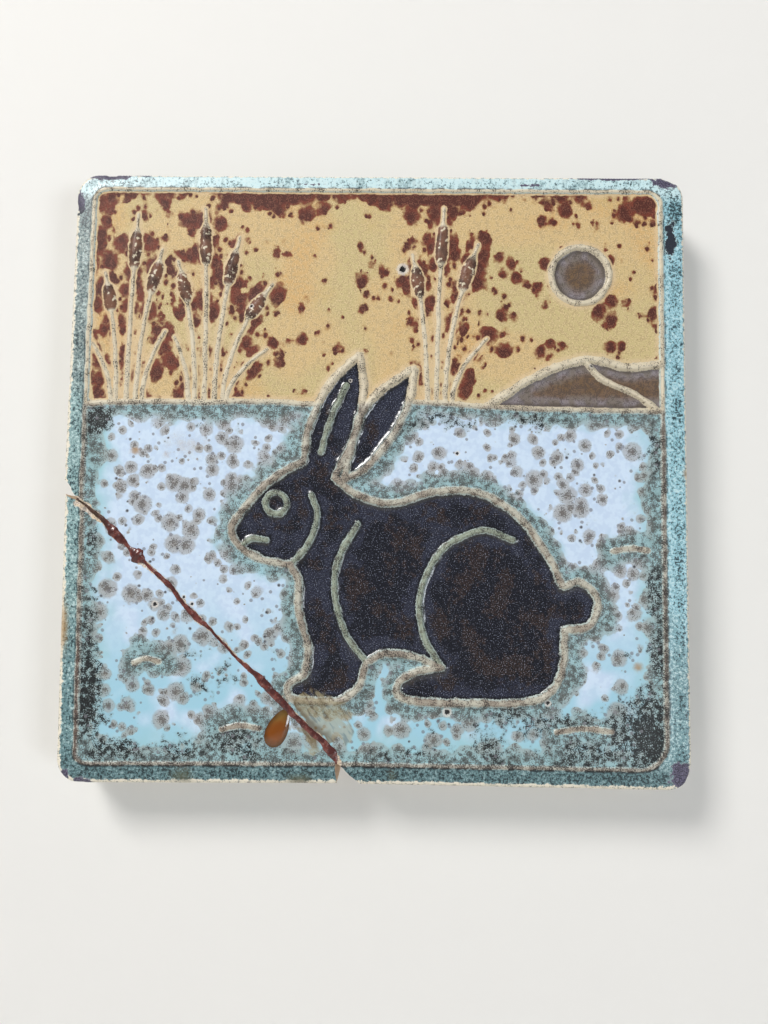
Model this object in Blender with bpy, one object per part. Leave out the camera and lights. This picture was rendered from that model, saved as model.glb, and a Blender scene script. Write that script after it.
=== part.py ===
"""A relief wall tile of glazed clay, broken across its lower left corner and glued.

The tile hangs upright: X runs along its width, Z runs up, and its face looks along -Y.
The origin is the middle of the back face of the whole tile, where it meets the wall.

The picture is first drawn flat, in metres across and up from the tile's middle. Each
raised line is a ridge with a flat crown, and the cells of dark glaze lie a little lower
than the fields round them. The flat drawing is cut into triangles along all its lines,
lifted off the face, and given walls and a back.
"""

import math
from dataclasses import dataclass

import bmesh
import bpy
import numpy as np
from mathutils import Vector
from mathutils.geometry import delaunay_2d_cdt

# The whole tile
TILE_WIDTH = 0.150
TILE_HEIGHT = 0.1473
TILE_THICKNESS = 0.014
TILE_CORNER = 0.0055
EDGE_ROUND = 0.0012

# The rim line that frames the picture; corners run from the lower left, anticlockwise
RIM_INSET = 0.0047
RIM_INSET_RIGHT = 0.0059
RIM_INSET_TOP = 0.0040
RIM_WIDTH = 0.0018
RIM_RISE = 0.0006
RIM_CORNERS = (0.0022, 0.0062, 0.0034, 0.0032)

# The raised lines of the picture, and the dark cells between them
OUTLINE_WIDTH = 0.0021
OUTLINE_RISE = 0.0010
DETAIL_WIDTH = 0.0016
DETAIL_RISE = 0.0008
HORIZON_WIDTH = 0.0013
HORIZON_RISE = 0.0005
STALK_WIDTH = 0.0011
STALK_TIP_WIDTH = 0.0006
STALK_RISE = 0.0004
SEED_HEAD_WIDTH = 0.0030
SEED_HEAD_RISE = 0.0008
TUFT_WIDTH = 0.0016
TUFT_RISE = 0.0004
CELL_DEPTH = 0.0004
CROWN_SHARE = 0.45

# The hare, and the sun
HARE_LENGTH = 0.084
EYE_RADIUS = 0.0026
SUN_RADIUS = 0.0070

# Keying grooves in the back
GROOVE_COUNT = 8
GROOVE_PITCH = 0.015
GROOVE_WIDTH = 0.004
GROOVE_FLOOR = 0.0028
GROOVE_DEPTH = 0.0012
GROOVE_END_GAP = 0.014

# The break and its repair
JOINT_GAP = 0.0010
GLUE_THICKNESS = 0.0004
GLUE_FOOT = 0.0010
SPALL_DEPTH = 0.0005
SPALL_MARGIN = 0.00035
GLUE_CLEARANCE = 0.0003
BEAD_RISE_SHARE = 0.35
CORNER_TURN = math.radians(-0.92)
CORNER_SHIFT = (0.00022, 0.00015)

# How finely curves are stepped, and how close two points of the drawing may lie
CURVE_STEPS = 3
CORNER_STEPS = 5
RING_STEPS = 20
LEAST_SPACING = 0.00003
FAR_OUTSIDE = 0.05
SHARP_ANGLE = math.radians(30)
MM = 1000.0

# The drawing below is in hundredths of the tile's width and height, from its middle.
HORIZON = [(-50, 10.5), (-36, 11), (-28, 10.9), (-20, 11.2), (-6, 10.8), (7, 11.4), (20, 10.7), (36, 10.4), (50, 10.4)]
HILL_TOP = [(18, 10.8), (26, 16), (34, 18.8), (41, 17.6), (50, 19)]
HILL_FIELD = [(33.5, 18.8), (36.5, 15.6), (41.5, 13.2), (45.5, 10.4)]
SUN_PLACE = (33, 33)
HARE_PLACE = (5.5, -36.6)
TUFTS = [
    [(-24, -41.5), (-21, -40.9), (-18, -41.3)],
    [(29, -41.2), (33, -40.6), (37.5, -41)],
    [(-38, -31), (-36, -30.3), (-34, -30.8)],
    [(38, -12.5), (41, -12), (43.5, -12.4)],
]
# Each stalk's foot, its height and how far its tip leans, and whether it carries a seed head
STALKS = [
    (-42.0, 22, -2.6, True), (-40.3, 32, 0.8, True), (-38.8, 26, 3.6, True), (-42.8, 10, -3.4, False),
    (-37.8, 12, 3.4, False), (-29.2, 24, -3.4, True), (-27.6, 33, -0.8, True), (-26.0, 28, 3.4, True),
    (-24.6, 20, 7.6, True), (-30.2, 11, -2.6, False), (-24.0, 9, 6.4, False), (8.4, 25, -2.6, True),
    (9.9, 33, 1.0, True), (11.3, 27, 5.2, True), (12.4, 11, 5.6, False),
]
# Shares of a stalk's height: where its head starts and ends, and where it is sampled
HEAD_START = 0.70
HEAD_END = 0.92
STEM_STEPS = 5
HEAD_STEPS = 6

# The hare is in hundredths of its length, from its nose, with the ground at 0.
HARE_OUTLINE = [
    [(29, 62), (36, 57), (46, 55), (58, 58.5), (71, 58), (82, 51), (90, 40), (94, 32)],
    [(94, 32), (99, 33.5), (103.5, 28.5), (101.5, 21.5), (94.5, 20)],
    [(94.5, 20), (94, 11), (91, 3.4), (84, 0), (70, -0.6), (57, -0.6), (49, 0.6), (48, 4.4), (53, 7.8), (60, 9)],
    [(60, 9), (52, 12), (44, 12.6), (39, 10)],
    [(39, 10), (37, 3.4), (32, -0.4), (25, -0.8), (18, 0), (17.4, 3.6), (22, 6.4)],
    [(22, 6.4), (22.6, 14), (19.6, 24), (19.6, 32), (17, 37)],
    [(17, 37), (9, 38.5), (2.5, 42), (0, 47), (3.5, 53), (9, 59.4), (15, 64), (20, 66.5)],
    [(20, 66.5), (21.6, 77), (27, 89), (35.5, 98)],
    [(35.5, 98), (37, 87), (34.5, 74), (29, 62)],
]
FAR_EAR = [
    [(35.8, 80), (42, 87.5), (51.5, 94)],
    [(51.5, 94), (50, 84), (44.5, 73), (37.5, 64.6), (31, 61.2)],
]
HARE_DETAILS = [
    [(60, 9), (55, 18), (54, 30), (60, 42), (71, 47.6), (80, 45)],
    [(36, 49), (31, 40), (29.6, 30), (32.6, 19), (39, 10)],
    [(17, 37), (22, 43), (24.4, 51), (22.6, 57)],
    [(25, 69.5), (27.6, 79), (32, 89)],
    [(2.5, 42), (6, 44.4), (10, 44)],
]
EYE_PLACE = (12.5, 54.5)

# The break runs down from the left edge to the foot, in hundredths of the tile, and each
# point has half the width of the glue bead there, in metres.
BREAK_PATH = [
    (-47.7, -5.2, 0.0002), (-46.5, -6.0, 0.0002), (-44.7, -7.4, 0.0004), (-42.9, -8.8, 0.0006),
    (-41.5, -10.4, 0.0012), (-40.2, -11.8, 0.0010), (-38.9, -13.0, 0.0004), (-37.5, -14.4, 0.0016),
    (-36.1, -15.6, 0.0003), (-32.7, -18.5, 0.0006), (-29.7, -22.2, 0.0005), (-27.9, -24.1, 0.0008),
    (-25.3, -26.1, 0.0002), (-21.7, -30.0, 0.0002), (-18.6, -32.6, 0.0005), (-17.0, -34.1, 0.0011),
    (-15.6, -35.6, 0.0008), (-14.1, -37.1, 0.0010), (-11.6, -39.6, 0.0007), (-7.6, -43.2, 0.0007),
    (-5.6, -45.2, 0.0010), (-5.0, -46.8, 0.0005),
]
# Where each piece's broken edge leaves that path: a chip at the left edge and one at the foot
BODY_EDGE_START = [(-54, -1.6), (-49.7, -2.1), (-48.9, -3.0), (-48.3, -4.2)]
BODY_EDGE_END = [(-4.4, -47.1), (-2.9, -48.6), (-0.3, -50.6), (4.5, -54)]
CORNER_EDGE_START = [(-54, -2.6), (-50.3, -4.1), (-49, -4.9)]
CORNER_EDGE_END = [(-5.3, -47.4), (-5.0, -49.6), (-4.9, -54)]


@dataclass
class Ridge:
    """A raised line: its route, and at each point its half width and its height above the face."""

    route: np.ndarray
    half: np.ndarray
    rise: np.ndarray
    closed: bool = False


def on_tile(points):
    """Hundredths of the tile as metres from its middle."""
    return np.asarray(points, float)[:, :2] * (TILE_WIDTH / 100, TILE_HEIGHT / 100)


def on_hare(points):
    """Hundredths of the hare as metres from the tile's middle."""
    foot = on_tile([HARE_PLACE])[0] - (HARE_LENGTH / 2, 0)
    return np.asarray(points, float) * HARE_LENGTH / 100 + foot


def smooth(points):
    """A smooth curve through the points, with CURVE_STEPS steps from each to the next."""
    points = np.asarray(points, float)
    ends = [2 * points[0] - points[1], *points, 2 * points[-1] - points[-2]]
    curve = []
    for before, start, stop, after in zip(ends, ends[1:], ends[2:], ends[3:]):
        for t in np.arange(CURVE_STEPS) / CURVE_STEPS:
            bend = 2 * before - 5 * start + 4 * stop - after
            twist = 3 * start - before - 3 * stop + after
            curve.append(start + 0.5 * ((stop - before) * t + bend * t**2 + twist * t**3))
    return np.array([*curve, points[-1]])


def joined(runs):
    """A closed line of smooth runs, with a corner where one run meets the next."""
    return np.vstack([smooth(run)[:-1] for run in runs])


def ring(centre, radius):
    """A closed circle."""
    angles = np.arange(RING_STEPS) * 2 * math.pi / RING_STEPS
    return np.asarray(centre) + radius * np.column_stack([np.cos(angles), np.sin(angles)])


def rounded_rectangle(left, right, foot, top, corners):
    """A closed loop with rounded corners, from the lower left one, anticlockwise."""
    sides = [(left, foot, 1, 1), (right, foot, -1, 1), (right, top, -1, -1), (left, top, 1, -1)]
    loop = []
    for turn, ((x, y, across, up), radius) in enumerate(zip(sides, corners)):
        centre = (x + across * radius, y + up * radius)
        for step in range(CORNER_STEPS + 1):
            angle = math.pi + (turn + step / CORNER_STEPS) * math.pi / 2
            loop.append((centre[0] + radius * math.cos(angle), centre[1] + radius * math.sin(angle)))
    return np.array(loop)


def tile_outline(inset):
    """The edge of the whole tile, drawn in by inset."""
    across, up = TILE_WIDTH / 2 - inset, TILE_HEIGHT / 2 - inset
    return rounded_rectangle(-across, across, -up, up, [TILE_CORNER - inset] * 4)


def beside(route, reach, closed=False):
    """The line beside a route, at the distance reach to its left."""
    ahead = np.roll(route, -1, 0) - route
    if not closed:
        ahead[-1] = ahead[-2]
    ahead /= np.linalg.norm(ahead, axis=1)[:, None]
    behind = np.roll(ahead, 1, 0)
    if not closed:
        behind[0] = ahead[0]
    left = np.column_stack([-(ahead + behind)[:, 1], (ahead + behind)[:, 0]])
    length = np.maximum(np.linalg.norm(left, axis=1), 1.1)[:, None]
    return route + left / length * 2 / length * np.reshape(reach, (-1, 1))


def banks(ridge, share):
    """The closed loops along both sides of a ridge, at this share of its half width."""
    reach = ridge.half * share
    left, right = beside(ridge.route, reach, ridge.closed), beside(ridge.route, -reach, ridge.closed)
    if ridge.closed:
        return [left, right]
    first = ridge.route[0] - (ridge.route[1] - ridge.route[0]) * share * 0.5
    last = ridge.route[-1] - (ridge.route[-2] - ridge.route[-1]) * share * 0.5
    return [np.vstack([[first], right, [last], left[::-1]])]


def nearest(places, route, values, closed):
    """Each place's distance to a route, and the values of the route at its nearest point."""
    stops = np.roll(route, -1, 0) if closed else route[1:]
    starts = route if closed else route[:-1]
    value_stops = np.roll(values, -1, 0) if closed else values[1:]
    best = np.full(len(places), np.inf)
    found = np.zeros((len(places), values.shape[1]))
    for start, stop, low, high in zip(starts, stops, values, value_stops):
        along = stop - start
        share = np.clip((places - start) @ along / (along @ along), 0, 1)
        distance = np.linalg.norm(places - start - share[:, None] * along, axis=1)
        closer = distance < best
        best[closer] = distance[closer]
        found[closer] = (low + share[:, None] * (high - low))[closer]
    return best, found


def inside(places, loop):
    """True for each place that lies inside a closed loop."""
    x, y = places[:, 0], places[:, 1]
    odd = np.zeros(len(places), bool)
    for (x0, y0), (x1, y1) in zip(loop, np.roll(loop, -1, 0)):
        if y0 == y1:
            continue
        spans = (y0 > y) != (y1 > y)
        odd ^= spans & (x < x0 + (y - y0) * (x1 - x0) / (y1 - y0))
    return odd


def even_ridge(route, width, rise, closed=False):
    """A ridge of one width and height."""
    return Ridge(route, np.full(len(route), width / 2), np.full(len(route), rise), closed)


def rim_loop():
    """The line that frames the picture."""
    left, right = RIM_INSET - TILE_WIDTH / 2, TILE_WIDTH / 2 - RIM_INSET_RIGHT
    foot, top = RIM_INSET - TILE_HEIGHT / 2, TILE_HEIGHT / 2 - RIM_INSET_TOP
    return rounded_rectangle(left, right, foot, top, RIM_CORNERS)


def hare_loops():
    """The closed outlines of the hare: its body with the near ear, and the far ear."""
    return [joined([on_hare(run) for run in runs]) for runs in (HARE_OUTLINE, FAR_EAR)]


def hill_loop():
    """The hill's outline, closed along the horizon and cut off behind the rim line."""
    top = smooth(on_tile(HILL_TOP))
    ground = smooth(on_tile(HORIZON))
    return np.vstack([top, ground[ground[:, 0] > top[0, 0]][::-1]])


def stalk(foot, height, lean, has_head):
    """A stalk that stands on the horizon and bends over: a bare blade, or a stem with a long seed head."""
    stem_end = HEAD_START if has_head else 1
    share = np.linspace(0, stem_end, STEM_STEPS)
    if has_head:
        share = np.append(np.append(share, np.linspace(HEAD_START, HEAD_END, HEAD_STEPS)[1:]), 1)
    ground = np.interp(foot, *zip(*HORIZON))
    route = on_tile(np.column_stack([foot + lean * share**2, ground + height * share]))
    width = np.interp(share, (0, 1), (STALK_WIDTH, STALK_TIP_WIDTH))
    rise = np.full(len(share), STALK_RISE)
    if has_head:
        middle, reach = (HEAD_START + HEAD_END) / 2, (HEAD_END - HEAD_START) / 2
        swell = np.sqrt(np.clip(1 - ((share - middle) / reach) ** 2, 0, 1))
        width += swell * (SEED_HEAD_WIDTH - width)
        rise += swell * (SEED_HEAD_RISE - STALK_RISE)
    return Ridge(route, width / 2, rise)


def picture_ridges():
    """Every raised line on the face, grouped by what it may cross: the hare hides what lies behind it."""
    hare = [even_ridge(loop, OUTLINE_WIDTH, OUTLINE_RISE, True) for loop in hare_loops()]
    hare += [even_ridge(smooth(on_hare(run)), DETAIL_WIDTH, DETAIL_RISE) for run in HARE_DETAILS]
    hare.append(even_ridge(ring(on_hare([EYE_PLACE])[0], EYE_RADIUS), DETAIL_WIDTH, DETAIL_RISE, True))
    behind = [even_ridge(smooth(on_tile(HORIZON)), HORIZON_WIDTH, HORIZON_RISE)]
    behind.append(even_ridge(smooth(on_tile(HILL_TOP)), OUTLINE_WIDTH, DETAIL_RISE))
    behind.append(even_ridge(smooth(on_tile(HILL_FIELD)), DETAIL_WIDTH, DETAIL_RISE))
    behind.append(even_ridge(ring(on_tile([SUN_PLACE])[0], SUN_RADIUS), DETAIL_WIDTH, DETAIL_RISE, True))
    behind += [stalk(*grass) for grass in STALKS]
    behind += [even_ridge(smooth(on_tile(tuft)), TUFT_WIDTH, TUFT_RISE) for tuft in TUFTS]
    rim = even_ridge(rim_loop(), RIM_WIDTH, RIM_RISE, True)
    return hare, behind, rim


def edge_drop(places):
    """How far the rounded edge of the tile falls away below the face."""
    centre = np.array([TILE_WIDTH, TILE_HEIGHT]) / 2 - TILE_CORNER
    beyond = np.abs(places) - centre
    outside = np.linalg.norm(np.maximum(beyond, 0), axis=1) + np.minimum(beyond.max(1), 0)
    short = np.clip(EDGE_ROUND - (TILE_CORNER - outside), 0, EDGE_ROUND)
    return EDGE_ROUND - np.sqrt(EDGE_ROUND**2 - short**2)


def relief(places):
    """The height of the face at each place, above the plane of the fields."""
    hare, behind, rim = picture_ridges()
    body, far_ear = hare_loops()
    figure = inside(places, body) | inside(places, far_ear)
    in_rim = inside(places, rim.route)
    sun = ring(on_tile([SUN_PLACE])[0], SUN_RADIUS)
    cell = in_rim & (figure | inside(places, hill_loop()) | inside(places, sun))
    ground = np.where(cell, -CELL_DEPTH, 0.0)
    height = ground.copy()
    groups = [(hare, in_rim), (behind, in_rim & ~figure), ([rim], np.ones(len(places), bool))]
    for ridges, seen in groups:
        for ridge in ridges:
            values = np.column_stack([ridge.half, ridge.rise])
            distance, found = nearest(places, ridge.route, values, ridge.closed)
            half, rise = found.T
            share = np.clip((half - distance) / (half * (1 - CROWN_SHARE)), 0, 1) * seen
            height = np.maximum(height, ground + share * (rise - ground))
    return height - edge_drop(places)


def break_route():
    """The break's route in metres, and the half width of its glue bead at each point."""
    return on_tile(BREAK_PATH), np.array([point[2] for point in BREAK_PATH])


def spall_reach(bead):
    """How far the chipped lips of the break reach from its middle, past the bead of glue."""
    return np.maximum(bead + SPALL_MARGIN, JOINT_GAP / 2 + LEAST_SPACING * 2)


def spall_drop(places, route, reach):
    """How far the chipped lips of the break fall away below the face."""
    distance, found = nearest(places, route, reach[:, None], False)
    share = 1 - (distance - JOINT_GAP / 2) / (found[:, 0] - JOINT_GAP / 2)
    return SPALL_DEPTH * np.clip(share, 0, 1)


def corner_to_tile(places):
    """Places on the glued corner as places on the tile: it sits a little turned and shifted."""
    turn = np.array([[math.cos(CORNER_TURN), math.sin(CORNER_TURN)], [-math.sin(CORNER_TURN), math.cos(CORNER_TURN)]])
    return places @ turn.T + CORNER_SHIFT


def tile_to_corner(places):
    """The way back from corner_to_tile."""
    turn = np.array([[math.cos(CORNER_TURN), math.sin(CORNER_TURN)], [-math.sin(CORNER_TURN), math.cos(CORNER_TURN)]])
    return (places - CORNER_SHIFT) @ turn


def broken_edge(start, end, side):
    """The edge that a piece has along the break: side is 1 on the body and -1 on the corner."""
    route, _ = break_route()
    return np.vstack([on_tile(start), beside(route, side * JOINT_GAP / 2), on_tile(end)])


def behind_edge(edge):
    """The loop of everything on the corner's side of a broken edge."""
    low, left = -TILE_HEIGHT / 2 - FAR_OUTSIDE, -TILE_WIDTH / 2 - FAR_OUTSIDE
    return np.vstack([edge, [(edge[-1, 0], low), (left, low), (left, edge[0, 1])]])


def drawing(extra):
    """The lines of the whole flat drawing, each as (points, closed)."""
    hare, behind, rim = picture_ridges()
    lines = [(tile_outline(share * EDGE_ROUND), True) for share in (0, 0.3, 1)]
    for ridge in [*hare, *behind, rim]:
        for share in (1, CROWN_SHARE):
            lines += [(bank, True) for bank in banks(ridge, share)]
    return lines + extra


def triangles(lines):
    """The points and the triangles of a flat drawing, cut along all of its lines."""
    points, edges = [], []
    for line, closed in lines:
        first = len(points)
        points += [Vector(place) for place in line * MM]
        edges += [(first + k, first + k + 1) for k in range(len(line) - 1)]
        if closed:
            edges.append((first + len(line) - 1, first))
    flat, _, faces, *_ = delaunay_2d_cdt(points, edges, [], 0, LEAST_SPACING * MM)
    return np.array(flat) / MM, np.array(faces)


def material(name, colour, roughness):
    """A plain fired or cured surface."""
    made = bpy.data.materials.new(name)
    made.use_nodes = True
    shader = made.node_tree.nodes["Principled BSDF"]
    shader.inputs["Base Color"].default_value = (*colour, 1)
    shader.inputs["Roughness"].default_value = roughness
    shader.inputs["Metallic"].default_value = 0.0
    return made


def add_object(name, mesh, surface):
    """Puts a mesh in the scene with its material."""
    thing = bpy.data.objects.new(name, mesh)
    mesh.materials.append(surface)
    mesh.shade_smooth()
    mesh.set_sharp_from_angle(angle=SHARP_ANGLE)
    bpy.context.scene.collection.objects.link(thing)
    return thing


def fired_piece(name, edge, route, keep_behind, surface):
    """A solid piece of the tile: the lifted drawing on one side of a broken edge, with walls and a back."""
    _, bead = break_route()
    reach = spall_reach(bead)
    lips = [(beside(route, side * reach), False) for side in (1, -1)]
    flat, faces = triangles(drawing([(edge, False), *lips]))
    middles = flat[faces].mean(1)
    kept = inside(middles, tile_outline(0)) & (inside(middles, behind_edge(edge)) == keep_behind)
    height = relief(flat) - spall_drop(flat, route, reach)
    solid = bmesh.new()
    points = [solid.verts.new((x, -TILE_THICKNESS - z, y)) for (x, y), z in zip(flat, height)]
    for corners in faces[kept]:
        solid.faces.new([points[k] for k in corners])
    bmesh.ops.delete(solid, geom=[v for v in solid.verts if not v.link_faces], context="VERTS")
    border = [e for e in solid.edges if e.is_boundary]
    walls = bmesh.ops.extrude_edge_only(solid, edges=border)["geom"]
    for point in (v for v in walls if isinstance(v, bmesh.types.BMVert)):
        point.co.y = 0
    back = [e for e in walls if isinstance(e, bmesh.types.BMEdge)]
    bmesh.ops.edgeloop_fill(solid, edges=back)
    bmesh.ops.recalc_face_normals(solid, faces=solid.faces)
    mesh = bpy.data.meshes.new(name)
    solid.to_mesh(mesh)
    solid.free()
    return add_object(name, mesh, surface)


def groove_cutter(name):
    """The keying grooves of the whole back, as one cutter: bars that widen towards the wall."""
    length = TILE_WIDTH - 2 * GROOVE_END_GAP
    cutter = bmesh.new()
    for k in range(GROOVE_COUNT):
        middle = (k - (GROOVE_COUNT - 1) / 2) * GROOVE_PITCH
        rings = []
        for depth, width in ((-GROOVE_DEPTH, GROOVE_FLOOR), (GROOVE_DEPTH, 2 * GROOVE_WIDTH - GROOVE_FLOOR)):
            across, up = (length - GROOVE_WIDTH + width) / 2, width / 2
            loop = rounded_rectangle(-across, across, middle - up, middle + up, [up * 0.98] * 4)
            rings.append([cutter.verts.new((x, depth, y)) for x, y in loop])
        floor, mouth = rings
        cutter.faces.new(floor)
        cutter.faces.new(mouth[::-1])
        for a in range(len(floor)):
            b = (a + 1) % len(floor)
            cutter.faces.new((floor[b], floor[a], mouth[a], mouth[b]))
    bmesh.ops.recalc_face_normals(cutter, faces=cutter.faces)
    mesh = bpy.data.meshes.new(name)
    cutter.to_mesh(mesh)
    cutter.free()
    tool = bpy.data.objects.new(name, mesh)
    bpy.context.scene.collection.objects.link(tool)
    tool.hide_render = True
    tool.display_type = "WIRE"
    return tool


def cut_grooves(piece):
    """Cuts the grooves into a piece, lined up with that piece's own back."""
    tool = groove_cutter(piece.name + "_grooves")
    tool.location, tool.rotation_euler = piece.location, piece.rotation_euler
    cut = piece.modifiers.new("keying_grooves", "BOOLEAN")
    cut.operation = "DIFFERENCE"
    cut.object = tool


def glue_section(bead):
    """Half of the glue's cross-section, from its foot to the top of its bead, as (out, up)."""
    sheet = GLUE_THICKNESS / 2
    crest = TILE_THICKNESS + bead * BEAD_RISE_SHARE
    shoulder = TILE_THICKNESS - SPALL_DEPTH + GLUE_CLEARANCE
    if bead <= sheet:
        return [(sheet, GLUE_FOOT), (sheet, shoulder), (sheet, TILE_THICKNESS - GLUE_CLEARANCE / 2), (0, TILE_THICKNESS)]
    lip = shoulder + SPALL_DEPTH * (bead - sheet) / (spall_reach(bead) - JOINT_GAP / 2)
    lip = min(lip, crest - LEAST_SPACING)
    return [(sheet, GLUE_FOOT), (sheet, shoulder - LEAST_SPACING), (bead, lip), (0, crest)]


def glue_seam(surface):
    """The glue: a thin sheet in the joint, with a bead of changing width along the face."""
    route, beads = break_route()
    seam = bmesh.new()
    rings = []
    for k, (place, bead) in enumerate(zip(route, beads)):
        step = beside(route, 1.0)[k] - place
        half = glue_section(bead)
        whole = [(out, up) for out, up in half] + [(-out, up) for out, up in half[-2::-1]]
        rings.append([seam.verts.new((place[0] + step[0] * out, -up, place[1] + step[1] * out)) for out, up in whole])
    for near, far in zip(rings, rings[1:]):
        for a in range(len(near)):
            b = (a + 1) % len(near)
            seam.faces.new((near[a], near[b], far[b], far[a]))
    seam.faces.new(rings[0])
    seam.faces.new(rings[-1][::-1])
    bmesh.ops.recalc_face_normals(seam, faces=seam.faces)
    bmesh.ops.triangulate(seam, faces=seam.faces)
    mesh = bpy.data.meshes.new("glue_seam")
    seam.to_mesh(mesh)
    seam.free()
    return add_object("glue_seam", mesh, surface)


def main():
    """Builds the two pieces of the tile and the glue between them."""
    for thing in list(bpy.data.objects):
        bpy.data.objects.remove(thing)
    glaze = material("glazed_clay", (0.42, 0.55, 0.60), 0.35)
    glue = material("aged_glue", (0.13, 0.03, 0.02), 0.30)

    route, _ = break_route()
    body_edge = broken_edge(BODY_EDGE_START, BODY_EDGE_END, 1)
    body = fired_piece("tile_body", body_edge, route, False, glaze)
    cut_grooves(body)

    corner_edge = tile_to_corner(broken_edge(CORNER_EDGE_START, CORNER_EDGE_END, -1))
    corner = fired_piece("tile_corner", corner_edge, tile_to_corner(route), True, glaze)
    corner.location = (CORNER_SHIFT[0], 0, CORNER_SHIFT[1])
    corner.rotation_euler = (0, CORNER_TURN, 0)
    cut_grooves(corner)

    glue_seam(glue)


main()
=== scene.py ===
"""Looks of a relief wall tile of glazed clay, broken across its lower left corner and glued.

Lengths here are in millimetres unless a name says otherwise, and places on the tile are
(across, up) from the middle of its face. The tile hangs upright: its face looks along -Y.
"""

import logging
import math
from dataclasses import dataclass, field
from enum import Enum
from types import SimpleNamespace
from typing import ClassVar

import bpy
import numpy as np
from mathutils import Matrix, Vector, noise
from mathutils.geometry import delaunay_2d_cdt


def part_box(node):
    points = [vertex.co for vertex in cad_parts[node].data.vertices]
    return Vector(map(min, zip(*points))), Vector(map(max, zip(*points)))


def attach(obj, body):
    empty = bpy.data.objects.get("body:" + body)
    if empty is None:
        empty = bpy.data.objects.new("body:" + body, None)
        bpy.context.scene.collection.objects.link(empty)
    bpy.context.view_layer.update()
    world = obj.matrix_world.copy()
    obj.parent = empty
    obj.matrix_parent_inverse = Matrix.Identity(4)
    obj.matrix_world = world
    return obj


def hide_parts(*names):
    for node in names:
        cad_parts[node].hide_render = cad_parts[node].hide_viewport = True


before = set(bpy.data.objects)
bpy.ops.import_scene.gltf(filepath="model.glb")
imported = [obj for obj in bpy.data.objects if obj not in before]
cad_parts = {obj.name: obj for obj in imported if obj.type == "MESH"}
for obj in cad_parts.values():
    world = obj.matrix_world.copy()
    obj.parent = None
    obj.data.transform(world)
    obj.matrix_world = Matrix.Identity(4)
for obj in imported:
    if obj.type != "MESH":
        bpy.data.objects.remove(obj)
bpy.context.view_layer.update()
LOG = logging.getLogger("relief_tile")

METRES = 0.001
Array = np.ndarray
Parts = SimpleNamespace
Pair = tuple[float, float]
Triple = tuple[float, float, float]
Colour = tuple[float, float, float, float]


class LineKind(Enum):
    """What a raised line of the relief belongs to."""

    RIM = "rim"
    OUTLINE = "outline"
    DETAIL = "detail"
    HORIZON = "horizon"
    BLADE = "blade"
    TUFT = "tuft"


class Side(Enum):
    """The two pieces that the break leaves."""

    BODY = 1
    CORNER = -1


class Surface(Enum):
    """The materials of a fired piece, in the order of its slots."""

    LAND = 0
    FIELD = 1
    SKY = 2
    CELL = 3
    HARE = 4
    FLANK = 5
    FRACTURE = 6
    BACK = 7


def in_scene(name: str, data: bpy.types.ID) -> bpy.types.Object:
    """Puts a new object into the scene.

    Args:
        name: The object's name.
        data: Its mesh, light or camera.

    Returns:
        The object.
    """
    made = bpy.data.objects.new(name, data)
    bpy.context.scene.collection.objects.link(made)
    return made


# Shapes in the plane of the face


def smooth(points: list | Array, steps: int = 8) -> Array:
    """Draws a smooth curve through points.

    Args:
        points: The points that the curve passes through.
        steps: How many steps lead from each point to the next.

    Returns:
        The curve's points, one row each.
    """
    points = np.asarray(points, float)
    ends = [2 * points[0] - points[1], *points, 2 * points[-1] - points[-2]]
    curve = []
    for before, start, stop, after in zip(ends, ends[1:], ends[2:], ends[3:]):
        for t in np.arange(steps) / steps:
            bend = 2 * before - 5 * start + 4 * stop - after
            twist = 3 * start - before - 3 * stop + after
            curve.append(start + 0.5 * ((stop - before) * t + bend * t**2 + twist * t**3))
    return np.array([*curve, points[-1]])


def joined(runs: list) -> Array:
    """A closed line of smooth runs, with a corner where one run meets the next."""
    return np.vstack([smooth(run)[:-1] for run in runs])


def ring(centre: Array, radius: float, steps: int = 48) -> Array:
    """A closed circle."""
    angles = np.arange(steps) * 2 * math.pi / steps
    return np.asarray(centre) + radius * np.column_stack([np.cos(angles), np.sin(angles)])


def rounded_rectangle(box: tuple[float, float, float, float], corners: tuple, steps: int = 10) -> Array:
    """Draws a closed loop with rounded corners.

    Args:
        box: Left, right, foot and top.
        corners: The radii, from the lower left corner, anticlockwise.
        steps: How many steps each corner takes.

    Returns:
        The loop's points, one row each.
    """
    left, right, foot, top = box
    sides = [(left, foot, 1, 1), (right, foot, -1, 1), (right, top, -1, -1), (left, top, 1, -1)]
    loop = []
    for turn, ((x, y, across, up), radius) in enumerate(zip(sides, corners)):
        centre = (x + across * radius, y + up * radius)
        for step in range(steps + 1):
            angle = math.pi + (turn + step / steps) * math.pi / 2
            loop.append((centre[0] + radius * math.cos(angle), centre[1] + radius * math.sin(angle)))
    return np.array(loop)


def resampled(route: Array, step: float, closed: bool, values: Array | None = None) -> Array:
    """Spaces a route's points evenly.

    Args:
        route: The route's points.
        step: The distance between the new points.
        closed: Whether the last point leads back to the first.
        values: Values at the route's points, which become further columns.

    Returns:
        The new points, with the values beside them.
    """
    whole = route if values is None else np.column_stack([route, values])
    if closed:
        whole = np.vstack([whole, whole[:1]])
    along = np.concatenate([[0], np.cumsum(np.linalg.norm(np.diff(whole[:, :2], axis=0), axis=1))])
    count = max(2, round(along[-1] / step))
    places = np.linspace(0, along[-1], count + 1)
    if closed:
        places = places[:-1]
    return np.column_stack([np.interp(places, along, column) for column in whole.T])


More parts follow.
